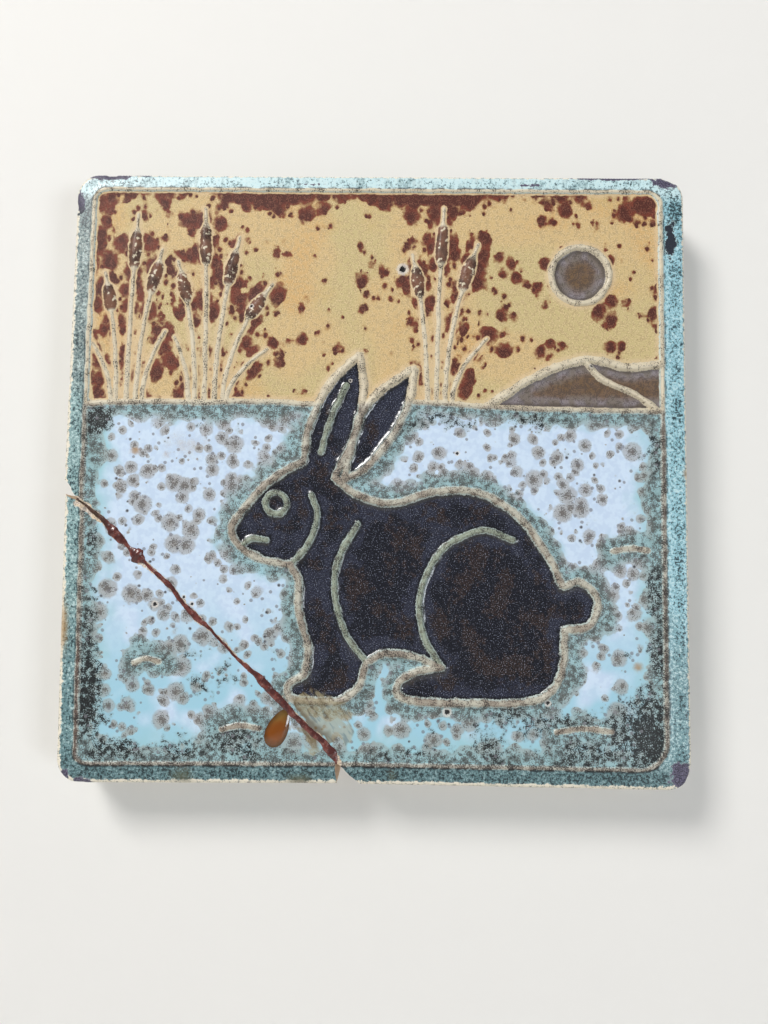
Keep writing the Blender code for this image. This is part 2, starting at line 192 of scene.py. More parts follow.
def beside(route: Array, reach: float | Array, closed: bool = False) -> Array:
    """Draws the line beside a route.

    Args:
        route: The route's points.
        reach: The distance to its left, one for all points or one for each.
        closed: Whether the last point leads back to the first.

    Returns:
        A point beside each point of the route.
    """
    ahead = np.roll(route, -1, 0) - route
    if not closed:
        ahead[-1] = ahead[-2]
    ahead /= np.maximum(np.linalg.norm(ahead, axis=1), 1e-9)[:, None]
    behind = np.roll(ahead, 1, 0)
    if not closed:
        behind[0] = ahead[0]
    left = np.column_stack([-(ahead + behind)[:, 1], (ahead + behind)[:, 0]])
    length = np.maximum(np.linalg.norm(left, axis=1), 1.1)[:, None]
    return route + left / length * 2 / length * np.reshape(reach, (-1, 1))


def nearest(places: Array, route: Array, values: Array,
            closed: bool) -> tuple[Array, Array]:
    """Finds how far each place is from a route.

    Args:
        places: The places to measure.
        route: The route's points.
        values: Values at the route's points, one row each.
        closed: Whether the last point leads back to the first.

    Returns:
        The distances, and the values at the nearest points of the route.
    """
    starts, lows = (route, values) if closed else (route[:-1], values[:-1])
    stops, highs = (np.roll(route, -1, 0), np.roll(values, -1, 0)) if closed else (route[1:], values[1:])
    best = np.full(len(places), np.inf)
    found = np.zeros((len(places), values.shape[1]))
    for start, stop, low, high in zip(starts, stops, lows, highs):
        along = stop - start
        share = np.clip((places - start) @ along / max(along @ along, 1e-12), 0, 1)
        away = places - start - share[:, None] * along
        distance = np.einsum("ij,ij->i", away, away)
        closer = np.flatnonzero(distance < best)
        best[closer] = distance[closer]
        found[closer] = low + share[closer, None] * (high - low)
    return np.sqrt(best), found


def from_loop(places: Array, loop: Array) -> Array:
    """How far each place is from a closed loop."""
    return nearest(places, loop, np.zeros((len(loop), 1)), True)[0]


def close_to(places: Array, route: Array, reach: float) -> Array:
    """The indices of the places in the box round a route, widened by reach."""
    low, high = route.min(0) - reach, route.max(0) + reach
    return np.flatnonzero(np.all((places > low) & (places < high), axis=1))


def inside(places: Array, loop: Array) -> Array:
    """Tells which places lie inside a closed loop.

    Args:
        places: The places to test.
        loop: The loop's points.

    Returns:
        True for each place inside it.
    """
    x, y = places[:, 0], places[:, 1]
    odd = np.zeros(len(places), bool)
    for (x0, y0), (x1, y1) in zip(loop, np.roll(loop, -1, 0)):
        if y0 == y1:
            continue
        spans = (y0 > y) != (y1 > y)
        odd ^= spans & (x < x0 + (y - y0) * (x1 - x0) / (y1 - y0))
    return odd


def eased(value: Array, low: float, high: float) -> Array:
    """A smooth step from 0 at low to 1 at high, which may be the lower of the two."""
    share = np.clip((value - low) / (high - low), 0, 1)
    return share * share * (3 - 2 * share)


def ripple(places: Array, size: float, seed: float, octaves: int = 2) -> Array:
    """Reads smooth noise over the face.

    Args:
        places: The places to read it at.
        size: How wide its bumps are.
        seed: Which noise it is.
        octaves: How many finer layers it has.

    Returns:
        A value for each place, mostly between -1 and 1.
    """
    read = noise.fractal
    return np.array([read((x / size, y / size, seed), 1.0, 2.0, octaves) for x, y in places.tolist()])


# The tile's form


@dataclass(frozen=True)
class TileForm:
    """The whole tile's sizes, read from the packed pieces, and the sizes of its edge and joint."""

    width: float
    height: float
    thickness: float
    corner: float = 5.5
    edge_round: float = 1.2
    joint: float = 0.5
    turn: float = math.radians(-0.92)
    shift: Pair = (0.22, 0.15)

    EDGE_STEP: ClassVar[float] = 0.7
    # How much narrower and lower than the packed body the tile is
    SPARE: ClassVar[Pair] = (0.05, 0.02)

    @classmethod
    def from_frame(cls, relief: float) -> "TileForm":
        """Reads the tile's sizes from the packed body.

        Args:
            relief: How far the highest line stands above the face.

        Returns:
            The form.
        """
        low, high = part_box("tile_body")
        width, height = (2 * reach / METRES - spare for reach, spare in zip((high.x, high.z), cls.SPARE))
        return cls(width, height, -low.y / METRES - relief)

    def outline(self, inset: float) -> Array:
        """Draws the tile's edge.

        Args:
            inset: How far it is drawn in.

        Returns:
            The loop's points.
        """
        across, up = self.width / 2 - inset, self.height / 2 - inset
        loop = rounded_rectangle((-across, across, -up, up), (max(self.corner - inset, 0.5),) * 4)
        return resampled(loop, self.EDGE_STEP, True)

    def edge_gap(self, places: Array) -> Array:
        """Measures how far places lie inside the tile's edge.

        Args:
            places: The places to measure.

        Returns:
            The distances, negative outside the tile.
        """
        beyond = np.abs(places) - (np.array([self.width, self.height]) / 2 - self.corner)
        outside = np.linalg.norm(np.maximum(beyond, 0), axis=1) + np.minimum(beyond.max(1), 0)
        return self.corner - outside

    def on_tile(self, points: list) -> Array:
        """Hundredths of the tile's width and height as millimetres from its middle."""
        return np.asarray(points, float)[:, :2] * (self.width / 100, self.height / 100)

    def to_corner(self, places: Array) -> Array:
        """Places on the tile as places on the broken corner, before it was turned and shifted."""
        cosine, sine = math.cos(self.turn), math.sin(self.turn)
        return (places - self.shift) @ np.array([[cosine, sine], [-sine, cosine]])


@dataclass(frozen=True)
class Blot:
    """A soft patch on the face: its middle, its reach each way, and its strength."""

    across: float
    up: float
    wide: float
    high: float
    strength: float = 1.0

    def read(self, places: Array) -> Array:
        """How strong the patch is at each place."""
        away = (places - (self.across, self.up)) / (self.wide, self.high)
        return self.strength * np.exp(-np.einsum("ij,ij->i", away, away))


def blotted(places: Array, blots: tuple[Blot, ...]) -> Array:
    """The strongest of several blots at each place."""
    return np.max([blot.read(places) for blot in blots], axis=0)


@dataclass(eq=False)
class RaisedLine:
    """A raised line: its route, and at each point its half width, its height and its seed head."""

    route: Array
    half: Array
    rise: Array
    kind: LineKind
    closed: bool = False
    head: Array | None = None

    STEP: ClassVar[float] = 0.55
    SHARES: ClassVar[tuple[float, ...]] = (0, 0.3, 0.55, 0.78, 0.95, 1.15, 1.6)
    END_TURNS: ClassVar[int] = 8
    # How much the course, the width and the height vary
    WAVER: ClassVar[float] = 0.16
    SWELL: ClassVar[float] = 0.22
    DIP: ClassVar[float] = 0.10

    def __post_init__(self) -> None:
        """Spaces the points evenly and makes the line uneven, as a hand-cut one is."""
        head = np.zeros(len(self.route)) if self.head is None else self.head
        rows = resampled(self.route, self.STEP, self.closed, np.column_stack([self.half, self.rise, head]))
        self.route, (self.half, self.rise, self.head) = rows[:, :2], rows[:, 2:].T
        waver = np.column_stack([ripple(self.route, 3.5, 11.3), ripple(self.route, 3.5, 27.9)])
        self.route = self.route + self.WAVER * waver
        self.half = self.half * (1 + self.SWELL * ripple(self.route, 2.4, 3.1))
        self.rise = self.rise * (1 + self.DIP * np.minimum(ripple(self.route, 4.0, 8.7), 0))

    @classmethod
    def even(cls, route: Array, width: float, rise: float, kind: LineKind,
             closed: bool = False) -> "RaisedLine":
        """Makes a line of one width and height.

        Args:
            route: The line's points.
            width: Its full width.
            rise: Its height above the face.
            kind: What it belongs to.
            closed: Whether it is a loop.

        Returns:
            The line.
        """
        return cls(route, np.full(len(route), width / 2), np.full(len(route), rise), kind, closed)

    def mesh_points(self) -> Array:
        """Lays out rows of points along the line, closer together on its flanks, and fans round its ends.

        Returns:
            The points.
        """
        rows = []
        for share in self.SHARES:
            for side in (1, -1) if share else (1,):
                rows.append(beside(self.route, side * share * self.half, self.closed))
        if not self.closed:
            for end in (0, -1):
                for share in self.SHARES[1:]:
                    rows.append(ring(self.route[end], share * self.half[end], self.END_TURNS))
        return np.vstack(rows)

    def measure(self, places: Array) -> tuple[Array, ...]:
        """Measures places against the line.

        Args:
            places: The places to measure.

        Returns:
            Their distances from its middle, and its half width, height and seed head nearest to them.
        """
        values = np.column_stack([self.half, self.rise, self.head])
        distance, found = nearest(places, self.route, values, self.closed)
        return distance, found[:, 0], found[:, 1], found[:, 2]


@dataclass
class Picture:
    """The picture on the tile: a hare before bulrushes, a low hill and a sun, all in raised lines."""

    form: TileForm
    outline_width: float = 2.1
    outline_rise: float = 1.0
    detail_width: float = 1.6
    detail_rise: float = 0.8
    horizon_width: float = 1.5
    horizon_rise: float = 0.5
    stalk_width: float = 1.25
    stalk_tip: float = 0.75
    stalk_rise: float = 0.4
    head_width: float = 3.0
    head_rise: float = 0.8
    head_span: Pair = (0.70, 0.92)
    tuft_width: float = 1.6
    tuft_rise: float = 0.4
    rim_width: float = 1.4
    rim_slim: float = 1.15
    rim_taper: float = 2.0
    rim_rise: float = 0.6
    rim_inset: float = 4.7
    rim_inset_right: float = 5.9
    rim_inset_top: float = 4.0
    rim_corners: tuple[float, ...] = (2.2, 6.2, 3.4, 3.2)
    cell_depth: float = 0.4
    hare_length: float = 84.0
    hare_place: Pair = (5.5, -36.6)
    eye_radius: float = 2.6
    eye_place: Pair = (12.5, 54.5)
    sun_radius: float = 7.0
    sun_place: Pair = (33, 33)
    lines: list[RaisedLine] = field(init=False)

    # These lines are in hundredths of the tile's width and height
    HORIZON: ClassVar[list] = [
        (-50, 10.5), (-36, 11), (-28, 10.9), (-20, 11.2), (-6, 10.8), (7, 11.4), (20, 10.7), (36, 10.4),
        (50, 10.4),
    ]
    HILL_TOP: ClassVar[list] = [(18, 10.8), (26, 16), (34, 18.8), (41, 17.6), (50, 19)]
    HILL_FIELD: ClassVar[list] = [(33.5, 18.8), (36.5, 15.6), (41.5, 13.2), (45.5, 10.4)]
    TUFTS: ClassVar[list] = [
        [(-24, -41.5), (-21, -40.9), (-18, -41.3)],
        [(29, -41.2), (33, -40.6), (37.5, -41)],
        [(-38, -31), (-36, -30.3), (-34, -30.8)],
        [(38, -12.5), (41, -12), (43.5, -12.4)],
    ]
    # Foot, height and lean, and whether it carries a seed head
    STALKS: ClassVar[list] = [
        (-42.0, 22, -2.6, True), (-40.3, 32, 0.8, True), (-38.8, 26, 3.6, True), (-42.8, 10, -3.4, False),
        (-37.8, 12, 3.4, False), (-29.2, 24, -3.4, True), (-27.6, 33, -0.8, True), (-26.0, 28, 3.4, True),
        (-24.6, 20, 7.6, True), (-30.2, 11, -2.6, False), (-24.0, 9, 6.4, False), (8.4, 25, -2.6, True),
        (9.9, 33, 1.0, True), (11.3, 27, 5.2, True), (12.4, 11, 5.6, False),
    ]
    # The hare's lines are in hundredths of its length, from below its nose
    HARE: ClassVar[list] = [
        [(29, 62), (36, 57), (46, 55), (58, 58.5), (71, 58), (82, 51), (90, 40), (94, 32)],
        [(94, 32), (99, 33.5), (103.5, 28.5), (101.5, 21.5), (94.5, 20)],
        [(94.5, 20), (94, 11), (91, 3.4), (84, 0), (70, -0.6), (57, -0.6), (49, 0.6), (48, 4.4),
         (53, 7.8), (60, 9)],
        [(60, 9), (52, 12), (44, 12.6), (39, 10)],
        [(39, 10), (37, 3.4), (32, -0.4), (25, -0.8), (18, 0), (17.4, 3.6), (22, 6.4)],
        [(22, 6.4), (22.6, 14), (19.6, 24), (19.6, 32), (17, 37)],
        [(17, 37), (9, 38.5), (2.5, 42), (0, 47), (3.5, 53), (9, 59.4), (15, 64), (20, 66.5)],
        [(20, 66.5), (21.6, 77), (27, 89), (35.5, 98)],
        [(35.5, 98), (37, 87), (34.5, 74), (29, 62)],
    ]
    FAR_EAR: ClassVar[list] = [
        [(35.8, 80), (42, 87.5), (51.5, 94)],
        [(51.5, 94), (50, 84), (44.5, 73), (37.5, 64.6), (31, 61.2)],
    ]
    DETAILS: ClassVar[list] = [
        [(60, 9), (55, 18), (54, 30), (60, 42), (71, 47.6), (80, 45)],
        [(36, 49), (31, 40), (29.6, 30), (32.6, 19), (39, 10)],
        [(17, 37), (22, 43), (24.4, 51), (22.6, 57)],
        [(25, 69.5), (27.6, 79), (32, 89)],
        [(2.5, 42), (6, 44.4), (10, 44)],
    ]

    def on_hare(self, points: list) -> Array:
        """Hundredths of the hare's length as places on the tile."""
        foot = self.form.on_tile([self.hare_place])[0] - (self.hare_length / 2, 0)
        return np.asarray(points, float) * self.hare_length / 100 + foot

    def stalk(self, foot: float, height: float, lean: float, has_head: bool) -> RaisedLine:
        """Draws a stalk that stands on the horizon and bends over.

        Args:
            foot: Where it stands, in hundredths of the tile's width.
            height: Its height, in hundredths of the tile's height.
            lean: How far its tip leans, in hundredths of the tile's width.
            has_head: Whether it carries a seed head.

        Returns:
            The raised line.
        """
        share = np.linspace(0, 1, 61)
        ground = np.interp(foot, *zip(*self.HORIZON))
        route = self.form.on_tile(np.column_stack([foot + lean * share**2, ground + height * share]))
        width = np.interp(share, (0, 1), (self.stalk_width, self.stalk_tip))
        rise = np.full(len(share), self.stalk_rise)
        swell = np.zeros(len(share))
        if has_head:
            low, high = self.head_span
            swell = np.sqrt(np.clip(1 - ((share - (low + high) / 2) / ((high - low) / 2)) ** 2, 0, 1))
        width = width + swell * (self.head_width - width)
        rise = rise + swell * (self.head_rise - self.stalk_rise)
        return RaisedLine(route, width / 2, rise, LineKind.BLADE, head=swell)

    def rim_line(self) -> RaisedLine:
        """Draws the line that frames the picture, thinner along the top and the foot.

        Returns:
            The raised line.
        """
        across, up = self.form.width / 2, self.form.height / 2
        foot, top = self.rim_inset - up, up - self.rim_inset_top
        box = (self.rim_inset - across, across - self.rim_inset_right, foot, top)
        loop = rounded_rectangle(box, self.rim_corners)
        beyond = np.minimum(loop[:, 1] - foot, top - loop[:, 1])
        width = np.interp(beyond, (0, self.rim_taper), (self.rim_slim, self.rim_width))
        return RaisedLine(loop, width / 2, np.full(len(loop), self.rim_rise), LineKind.RIM, True)

    def __post_init__(self) -> None:
        """Draws every line of the picture."""
        tile, even = self.form.on_tile, RaisedLine.even
        thick, thin = (self.outline_width, self.outline_rise), (self.detail_width, self.detail_rise)
        self.rim = self.rim_line()
        outlines = [joined([self.on_hare(run) for run in runs]) for runs in (self.HARE, self.FAR_EAR)]
        self.hare = [even(loop, *thick, LineKind.OUTLINE, True) for loop in outlines]
        inner = [(smooth(self.on_hare(run)), False) for run in self.DETAILS]
        inner.append((ring(self.on_hare([self.eye_place])[0], self.eye_radius), True))
        self.details = [even(run, *thin, LineKind.DETAIL, loop) for run, loop in inner]
        self.sun = even(ring(tile([self.sun_place])[0], self.sun_radius), *thin, LineKind.OUTLINE, True)
        self.hill = even(smooth(tile(self.HILL_TOP)), self.outline_width, self.detail_rise, LineKind.OUTLINE)
        ground = smooth(tile(self.HORIZON))
        self.horizon = even(ground, self.horizon_width, self.horizon_rise, LineKind.HORIZON)
        field_edge = even(smooth(tile(self.HILL_FIELD)), *thin, LineKind.DETAIL)
        self.behind = [self.horizon, self.hill, field_edge, self.sun]
        self.behind += [self.stalk(*grass) for grass in self.STALKS]
        tufts = [smooth(tile(tuft)) for tuft in self.TUFTS]
        self.behind += [even(tuft, self.tuft_width, self.tuft_rise, LineKind.TUFT) for tuft in tufts]
        self.lines = [*self.hare, *self.details, *self.behind, self.rim]

    def hill_loop(self) -> Array:
        """The hill's outline, closed along the horizon and cut off behind the rim line."""
        ground = self.horizon.route
        return np.vstack([self.hill.route, ground[ground[:, 0] > self.hill.route[0, 0]][::-1]])

    def in_hare(self, places: Array) -> Array:
        """True for each place on the hare."""
        return inside(places, self.hare[0].route) | inside(places, self.hare[1].route)


# The break


@dataclass
class Break:
    """The break: its route, and at each point half the bead's width and how far each lip is chipped."""

    form: TileForm
    route: Array = field(init=False)
    bead: Array = field(init=False)
    chip: Array = field(init=False)

    STEP: ClassVar[float] = 0.28
    # Across and up in hundredths of the tile, then in millimetres half the bead's width and the chipped width
    POINTS: ClassVar[list] = [
        (-47.7, -5.2, 0.25, 0.5), (-46.5, -6.0, 0.25, 0.5), (-44.7, -7.4, 0.45, 0.4),
        (-42.9, -8.8, 0.55, 0.3), (-41.5, -10.4, 1.2, 0.5), (-40.2, -11.8, 0.95, 0.2),
        (-38.9, -13.0, 0.35, 0.1), (-37.5, -14.4, 1.6, 0.8), (-36.1, -15.6, 0.25, 0.3),
        (-32.7, -18.5, 0.6, 0.3), (-29.7, -22.2, 0.45, 0.5), (-27.9, -24.1, 0.8, 0.6),
        (-25.3, -26.1, 0.25, 0.2), (-21.7, -30.0, 0.25, 0.3), (-18.6, -32.6, 0.5, 0.4),
        (-17.0, -34.1, 1.15, 0.5), (-15.6, -35.6, 0.8, 0.6), (-14.1, -37.1, 0.95, 0.8),
        (-11.6, -39.6, 0.7, 0.5), (-7.6, -43.2, 0.65, 0.6), (-5.6, -45.2, 1.2, 0.6),
        (-5.0, -46.8, 0.5, 0.9),
    ]
    # How the broken edge of each piece starts at the left and ends at the foot
    ENDS: ClassVar[dict] = {
        Side.BODY: (
            [(-54, -1.6), (-49.7, -2.1), (-48.9, -3.0), (-48.3, -4.2)],
            [(-4.4, -47.1), (-2.9, -48.6), (-0.3, -50.6), (4.5, -54)],
        ),
        Side.CORNER: (
            [(-54, -2.6), (-50.3, -4.1), (-49, -4.9)],
            [(-5.3, -47.4), (-5.0, -49.6), (-4.9, -54)],
        ),
    }
    END_STEP: ClassVar[float] = 0.5
    END_JAG: ClassVar[float] = 0.12
    LIP_ROWS: ClassVar[tuple[float, ...]] = (0.25, 0.5, 0.8, 1.15, 1.6)
    FAR: ClassVar[float] = 50.0

    def __post_init__(self) -> None:
        """Spaces the route's points closely and makes it jagged, as fired clay breaks."""
        points = np.array(self.POINTS)
        rows = resampled(self.form.on_tile(points), self.STEP, False, points[:, 2:])
        self.bead, self.chip = rows[:, 2], rows[:, 3]
        jag = 0.14 * ripple(rows[:, :2], 1.1, 41.7, 3) + 0.16 * ripple(rows[:, :2], 4.0, 5.5)
        self.route = beside(rows[:, :2], jag)

    def edge(self, side: Side) -> Array:
        """Draws the broken edge of one piece.

        Args:
            side: The piece.

        Returns:
            The edge's points, from beyond the tile's left edge to below its foot.
        """
        start, end = (self.form.on_tile(points) for points in self.ENDS[side])
        lip = beside(self.route, side.value * self.form.joint / 2)
        runs = (np.vstack([start, lip[:1]]), np.vstack([lip[-1:], end]))
        runs = [resampled(run, self.END_STEP, False) for run in runs]
        first, last = (beside(run, self.END_JAG * ripple(run, 0.9, 17.2)) for run in runs)
        return np.vstack([first[:-1], lip, last[1:]])

    def beyond(self, edge: Array) -> Array:
        """The loop of everything on the corner's side of a broken edge."""
        low, left = -self.form.height / 2 - self.FAR, -self.form.width / 2 - self.FAR
        return np.vstack([edge, [(edge[-1, 0], low), (left, low), (left, edge[0, 1])]])

    def mesh_points(self, side: Side) -> Array:
        """Rows of points beside one lip of the break, for its chipped clay."""
        half = self.form.joint / 2
        return np.vstack([beside(self.route, side.value * (half + reach)) for reach in self.LIP_ROWS])

    def chipped(self, places: Array, side: Side) -> tuple[Array, Array]:
        """Reads the chipped lips.

        Args:
            places: The places to read them at.
            side: The piece that they are on.

        Returns:
            How far the break is, and how chipped each place is, from 0 to 1.
        """
        distance, found = nearest(places, self.route, self.chip[:, None], False)
        uneven = 1 + 0.8 * ripple(places, 1.3, 61.0 + side.value, 3)
        reach = self.form.joint / 2 + found[:, 0] * uneven
        return distance, eased(distance, reach + 0.12, reach - 0.12)


# The relief of the face


@dataclass
class Relief:
    """The height of the face at any place, and the masks that its glazes follow."""

    form: TileForm
    picture: Picture
    crack: Break

    MENISCUS: ClassVar[float] = 0.20
    CELL_MENISCUS: ClassVar[float] = 0.42
    CLIMB_REACH: ClassVar[float] = 0.6
    PIT_DEPTH: ClassVar[float] = 0.25
    BORDER_REACH: ClassVar[float] = 4.0
    # How far the reliefs of lines are read, and the value of a gap where nothing is near
    FAR: ClassVar[float] = 12.0
    CLEAR: ClassVar[float] = 9.0

    # Dark mottling that gathered along the rim
    SHADE: ClassVar[tuple[Blot, ...]] = (
        Blot(-68, -52, 3.6, 13, 1.55), Blot(-62, -66, 9, 3.5, 1.1), Blot(-67, 11.5, 3.2, 3.4, 1.9),
        Blot(-67.5, -17, 2.4, 5, 0.8), Blot(-67.5, -36, 2.2, 8, 0.6), Blot(67, -27, 3.2, 9, 0.92),
        Blot(68, -42, 3.2, 8, 1.0), Blot(65, -60.5, 7.5, 10, 1.7), Blot(50, -66, 13, 4.5, 0.95),
        Blot(27, -64, 10, 5, 0.72), Blot(37, -58, 15, 5, 0.55), Blot(8, -67, 9, 3, 0.7),
        Blot(-36, -65, 17, 4.5, 0.85), Blot(40, 12.5, 14, 3, 0.5), Blot(-44, 12.5, 14, 2.5, 0.5),
        Blot(12, 11.5, 12, 3, 0.6), Blot(67.5, 4, 3, 10, 0.5), Blot(-38, -48, 10, 6, 0.42),
        Blot(61, -8, 5, 7, 0.36), Blot(-14, -44, 6, 5, 0.4),
    )
    # Where iron gathered in the ochre glaze
    IRON: ClassVar[tuple[Blot, ...]] = (
        Blot(-26, 69, 21, 4.6, 2.0), Blot(14, 69, 22, 4.4, 2.0), Blot(-63, 69, 8, 3.2, 1.25),
        Blot(-68, 57.5, 3.2, 10, 1.4), Blot(42, 70, 16, 3.6, 1.4), Blot(-52, 69, 10, 3.4, 0.9),
        Blot(64.5, 66.5, 6.5, 4.5, 1.5), Blot(69, 42, 3, 7, 0.9), Blot(69, 29, 2.6, 4, 0.8),
        Blot(-67, 30, 2.8, 5, 0.8), Blot(30, 46, 9, 6.5, 0.72), Blot(44, 66, 6, 5, 0.6),
        Blot(0, 47, 8, 7, 0.5), Blot(-10, 33, 5, 6, 0.45), Blot(36, 30, 10, 3.5, 0.42),
        Blot(56, 36, 5, 5, 0.5), Blot(-46, 62, 6, 4, 0.55),
    )
    # Rusty stains
    RUST: ClassVar[tuple[Blot, ...]] = (
        Blot(62.6, -45.4, 1.3, 1.1, 1.3), Blot(-74, -37, 1.3, 8), Blot(-17.5, -72.6, 3.4, 1.5, 1.2),
        Blot(-45, -71.8, 3.0, 2.0, 1.1), Blot(5.4, -71.6, 1.2, 1.6, 0.9), Blot(74.2, 0.5, 0.8, 1.4),
        Blot(-57.7, 4.2, 1.3, 0.9, 1.5), Blot(-45, 6, 7, 3.5, 0.55), Blot(-50, 3.4, 1.0, 0.8, 0.9),
    )
    # Dark clay where glaze came away or never held
    BARE: ClassVar[tuple[Blot, ...]] = (
        Blot(-67.5, 73.2, 6.0, 1.3, 1.1), Blot(-59, 73.5, 2.4, 0.6), Blot(-73.8, 65.5, 1.3, 3.4),
        Blot(58, 73.4, 11, 0.7, 1.1), Blot(70.5, 72, 3.4, 1.4, 1.1), Blot(71.6, 57.5, 1.25, 4.8, 1.1),
        Blot(72.6, -70.4, 2.8, 3.0, 1.25), Blot(-68.5, -73.4, 2.6, 1.2), Blot(-73, -71.6, 1.6, 1.8, 0.9),
        Blot(36, 71.2, 5, 0.5, 0.7), Blot(-16, 71.3, 4, 0.4, 0.7),
    )
    # The film of old glue
    FILM: ClassVar[tuple[Blot, ...]] = (
        Blot(-11.5, -58.5, 7.5, 6.5, 1.0), Blot(-15.5, -55, 3.5, 3.0, 1.1),
        Blot(-14.5, -64.5, 3.0, 3.0, 0.8), Blot(-5.5, -62, 3, 4, 0.7),
    )
    # Pinholes and burst bubbles: across, up, radius
    PITS: ClassVar[tuple] = (
        (-52.3, -31.9, 0.55), (-44.7, -30.8, 0.35), (-42.7, -32.4, 0.4), (6.3, 49.8, 0.9),
        (41.6, -54.1, 0.5), (18.1, -56.6, 0.7), (-30.5, 40.0, 0.4), (52.0, 26.0, 0.35), (-6.0, 22.0, 0.3),
        (20, 4.5, 0.4),
    )
    # Chips of the edge: across, up, radius, depth
    CHIPS: ClassVar[tuple] = (
        (-66.5, 73.6, 1.6, 0.5), (73.6, -69.5, 2.4, 0.7), (71.5, 72.6, 1.9, 0.6), (-74.9, 65, 1.3, 0.6),
        (-69.5, -73.4, 1.5, 0.5), (13.5, -73.65, 1.0, 0.5), (-75, 21, 0.9, 0.4), (75, 4, 0.8, 0.4),
        (-74.9, -1.2, 1.0, 0.5), (40, 73.65, 0.9, 0.35), (-20, 73.65, 0.7, 0.3), (75, -33, 0.9, 0.35),
        (50, -73.65, 1.1, 0.4),
    )

    def grid(self, spacing: float = 0.95) -> Array:
        """Lays out evenly spaced points over the face, every second row shifted by half a step.

        Args:
            spacing: The distance between the points.

        Returns:
            The points.
        """
        across, up = self.form.width / 2, self.form.height / 2
        rows = np.arange(-up, up, spacing * 0.866)
        columns = np.arange(-across, across, spacing)
        x, y = np.meshgrid(columns, rows)
        x = x + np.where(np.arange(len(rows)) % 2, spacing / 2, 0)[:, None]
        return np.column_stack([x.ravel(), y.ravel()])

    def read(self, places: Array, side: Side) -> tuple[Array, dict[str, Array]]:
        """Reads the face.

        Args:
            places: The places to read it at.
            side: The piece that they are on.

        Returns:
            The height above the plane of the face, and the masks by name.
        """
        picture = self.picture
        figure = picture.in_hare(places)
        in_rim = inside(places, picture.rim.route)
        cell = inside(places, picture.hill_loop()) | inside(places, picture.sun.route)
        swell = 0.05 * ripple(places, 15, 2.2) + 0.035 * ripple(places, 4.5, 6.4)
        ground = np.where(in_rim & (figure | cell), -picture.cell_depth, 0.0) + swell
        climb = np.where(in_rim & (figure | cell), self.CELL_MENISCUS, self.MENISCUS)
        height = ground.copy()
        masks = {name: np.zeros(len(places)) for name in ("rib", "crown", "sage", "rim_line", "head")}
        masks |= {name: np.full(len(places), self.FAR) for name in ("blade_gap", "line_gap")}
        for line in picture.lines:
            seen = in_rim if line.kind is not LineKind.RIM else np.ones(len(places), bool)
            if line in picture.behind:
                seen = in_rim & ~figure
            near = close_to(places, line.route, self.FAR)
            distance, half, rise, head = line.measure(places[near])
            share, shown = distance / half, seen[near]
            crown = np.clip(1 - share**2.4, 0, 1) ** 0.8 * shown
            foot = climb[near] * rise * np.exp(-np.maximum(distance - half, 0) / self.CLIMB_REACH) * shown
            top = ground[near] + np.maximum(crown * (rise - ground[near]), foot)
            height[near] = np.maximum(height[near], top)
            rib = eased(share, 1.42, 0.66) * shown
            stronger = rib > masks["rib"][near]
            marks = {
                "rib": rib,
                "sage": float(line.kind is LineKind.DETAIL) * figure[near],
                "rim_line": float(line is picture.rim),
                "head": head,
                "crown": np.clip(1 - share, 0, 1),
            }
            for name, value in marks.items():
                masks[name][near] = np.where(stronger, value, masks[name][near])
            away = np.where(shown, np.maximum(distance - half, 0), self.FAR)
            for name in ("line_gap", "blade_gap") if line.kind is LineKind.BLADE else ("line_gap",):
                masks[name][near] = np.minimum(masks[name][near], away)
        masks |= self.borders(places, figure, cell, in_rim)
        masks |= self.stains(places, masks)
        distance, chipped = self.crack.chipped(places, side)
        masks["break_gap"], masks["spall"] = np.minimum(distance, self.FAR), chipped
        height -= chipped * (0.28 + 0.12 * ripple(places, 0.9, 71.0))
        height -= self.edge_drop(places) + self.nicks(places, masks)
        return height, masks

    def borders(self, places: Array, figure: Array, cell: Array, in_rim: Array) -> dict:
        """Measures signed distances to the borders between the glazes.

        Args:
            places: The places to measure.
            figure: Which of them are on the hare.
            cell: Which of them are on the hill or the sun.
            in_rim: Which of them are inside the rim line.

        Returns:
            The distances by name, positive inside.
        """
        picture = self.picture
        loops = {
            "figure_side": ([line.route for line in picture.hare], figure),
            "rim_side": ([picture.rim.route], in_rim),
            "cell_side": ([picture.sun.route, picture.hill_loop()], cell),
        }
        found = {}
        for name, (routes, within) in loops.items():
            gap = np.full(len(places), self.FAR)
            for route in routes:
                near = close_to(places, route, self.BORDER_REACH)
                gap[near] = np.minimum(gap[near], from_loop(places[near], route))
            found[name] = np.where(within, gap, -gap)
        ground = picture.horizon.route
        found["sky_side"] = places[:, 1] - np.interp(places[:, 0], ground[:, 0], ground[:, 1])
        found["edge_gap"] = self.form.edge_gap(places)
        return found

    def stains(self, places: Array, masks: dict[str, Array]) -> dict[str, Array]:
        """Reads the patches of mottling, iron, rust, bare clay and glue film, from 0 to about 1.

        Args:
            places: The places to read them at.
            masks: The masks read so far.

        Returns:
            The patches by name.
        """
        by_stalks = 0.84 * np.exp(-(((masks["blade_gap"] - 1.6) / 2.0) ** 2))
        holes = np.full(len(places), self.CLEAR)
        for across, up, radius in self.PITS:
            holes = np.minimum(holes, np.linalg.norm(places - (across, up), axis=1) / radius)
        return {
            "shade": blotted(places, self.SHADE),
            "iron": np.maximum(blotted(places, self.IRON), by_stalks),
            "rust": blotted(places, self.RUST),
            "bare": blotted(places, self.BARE),
            "film": blotted(places, self.FILM),
            "pit": holes,
        }

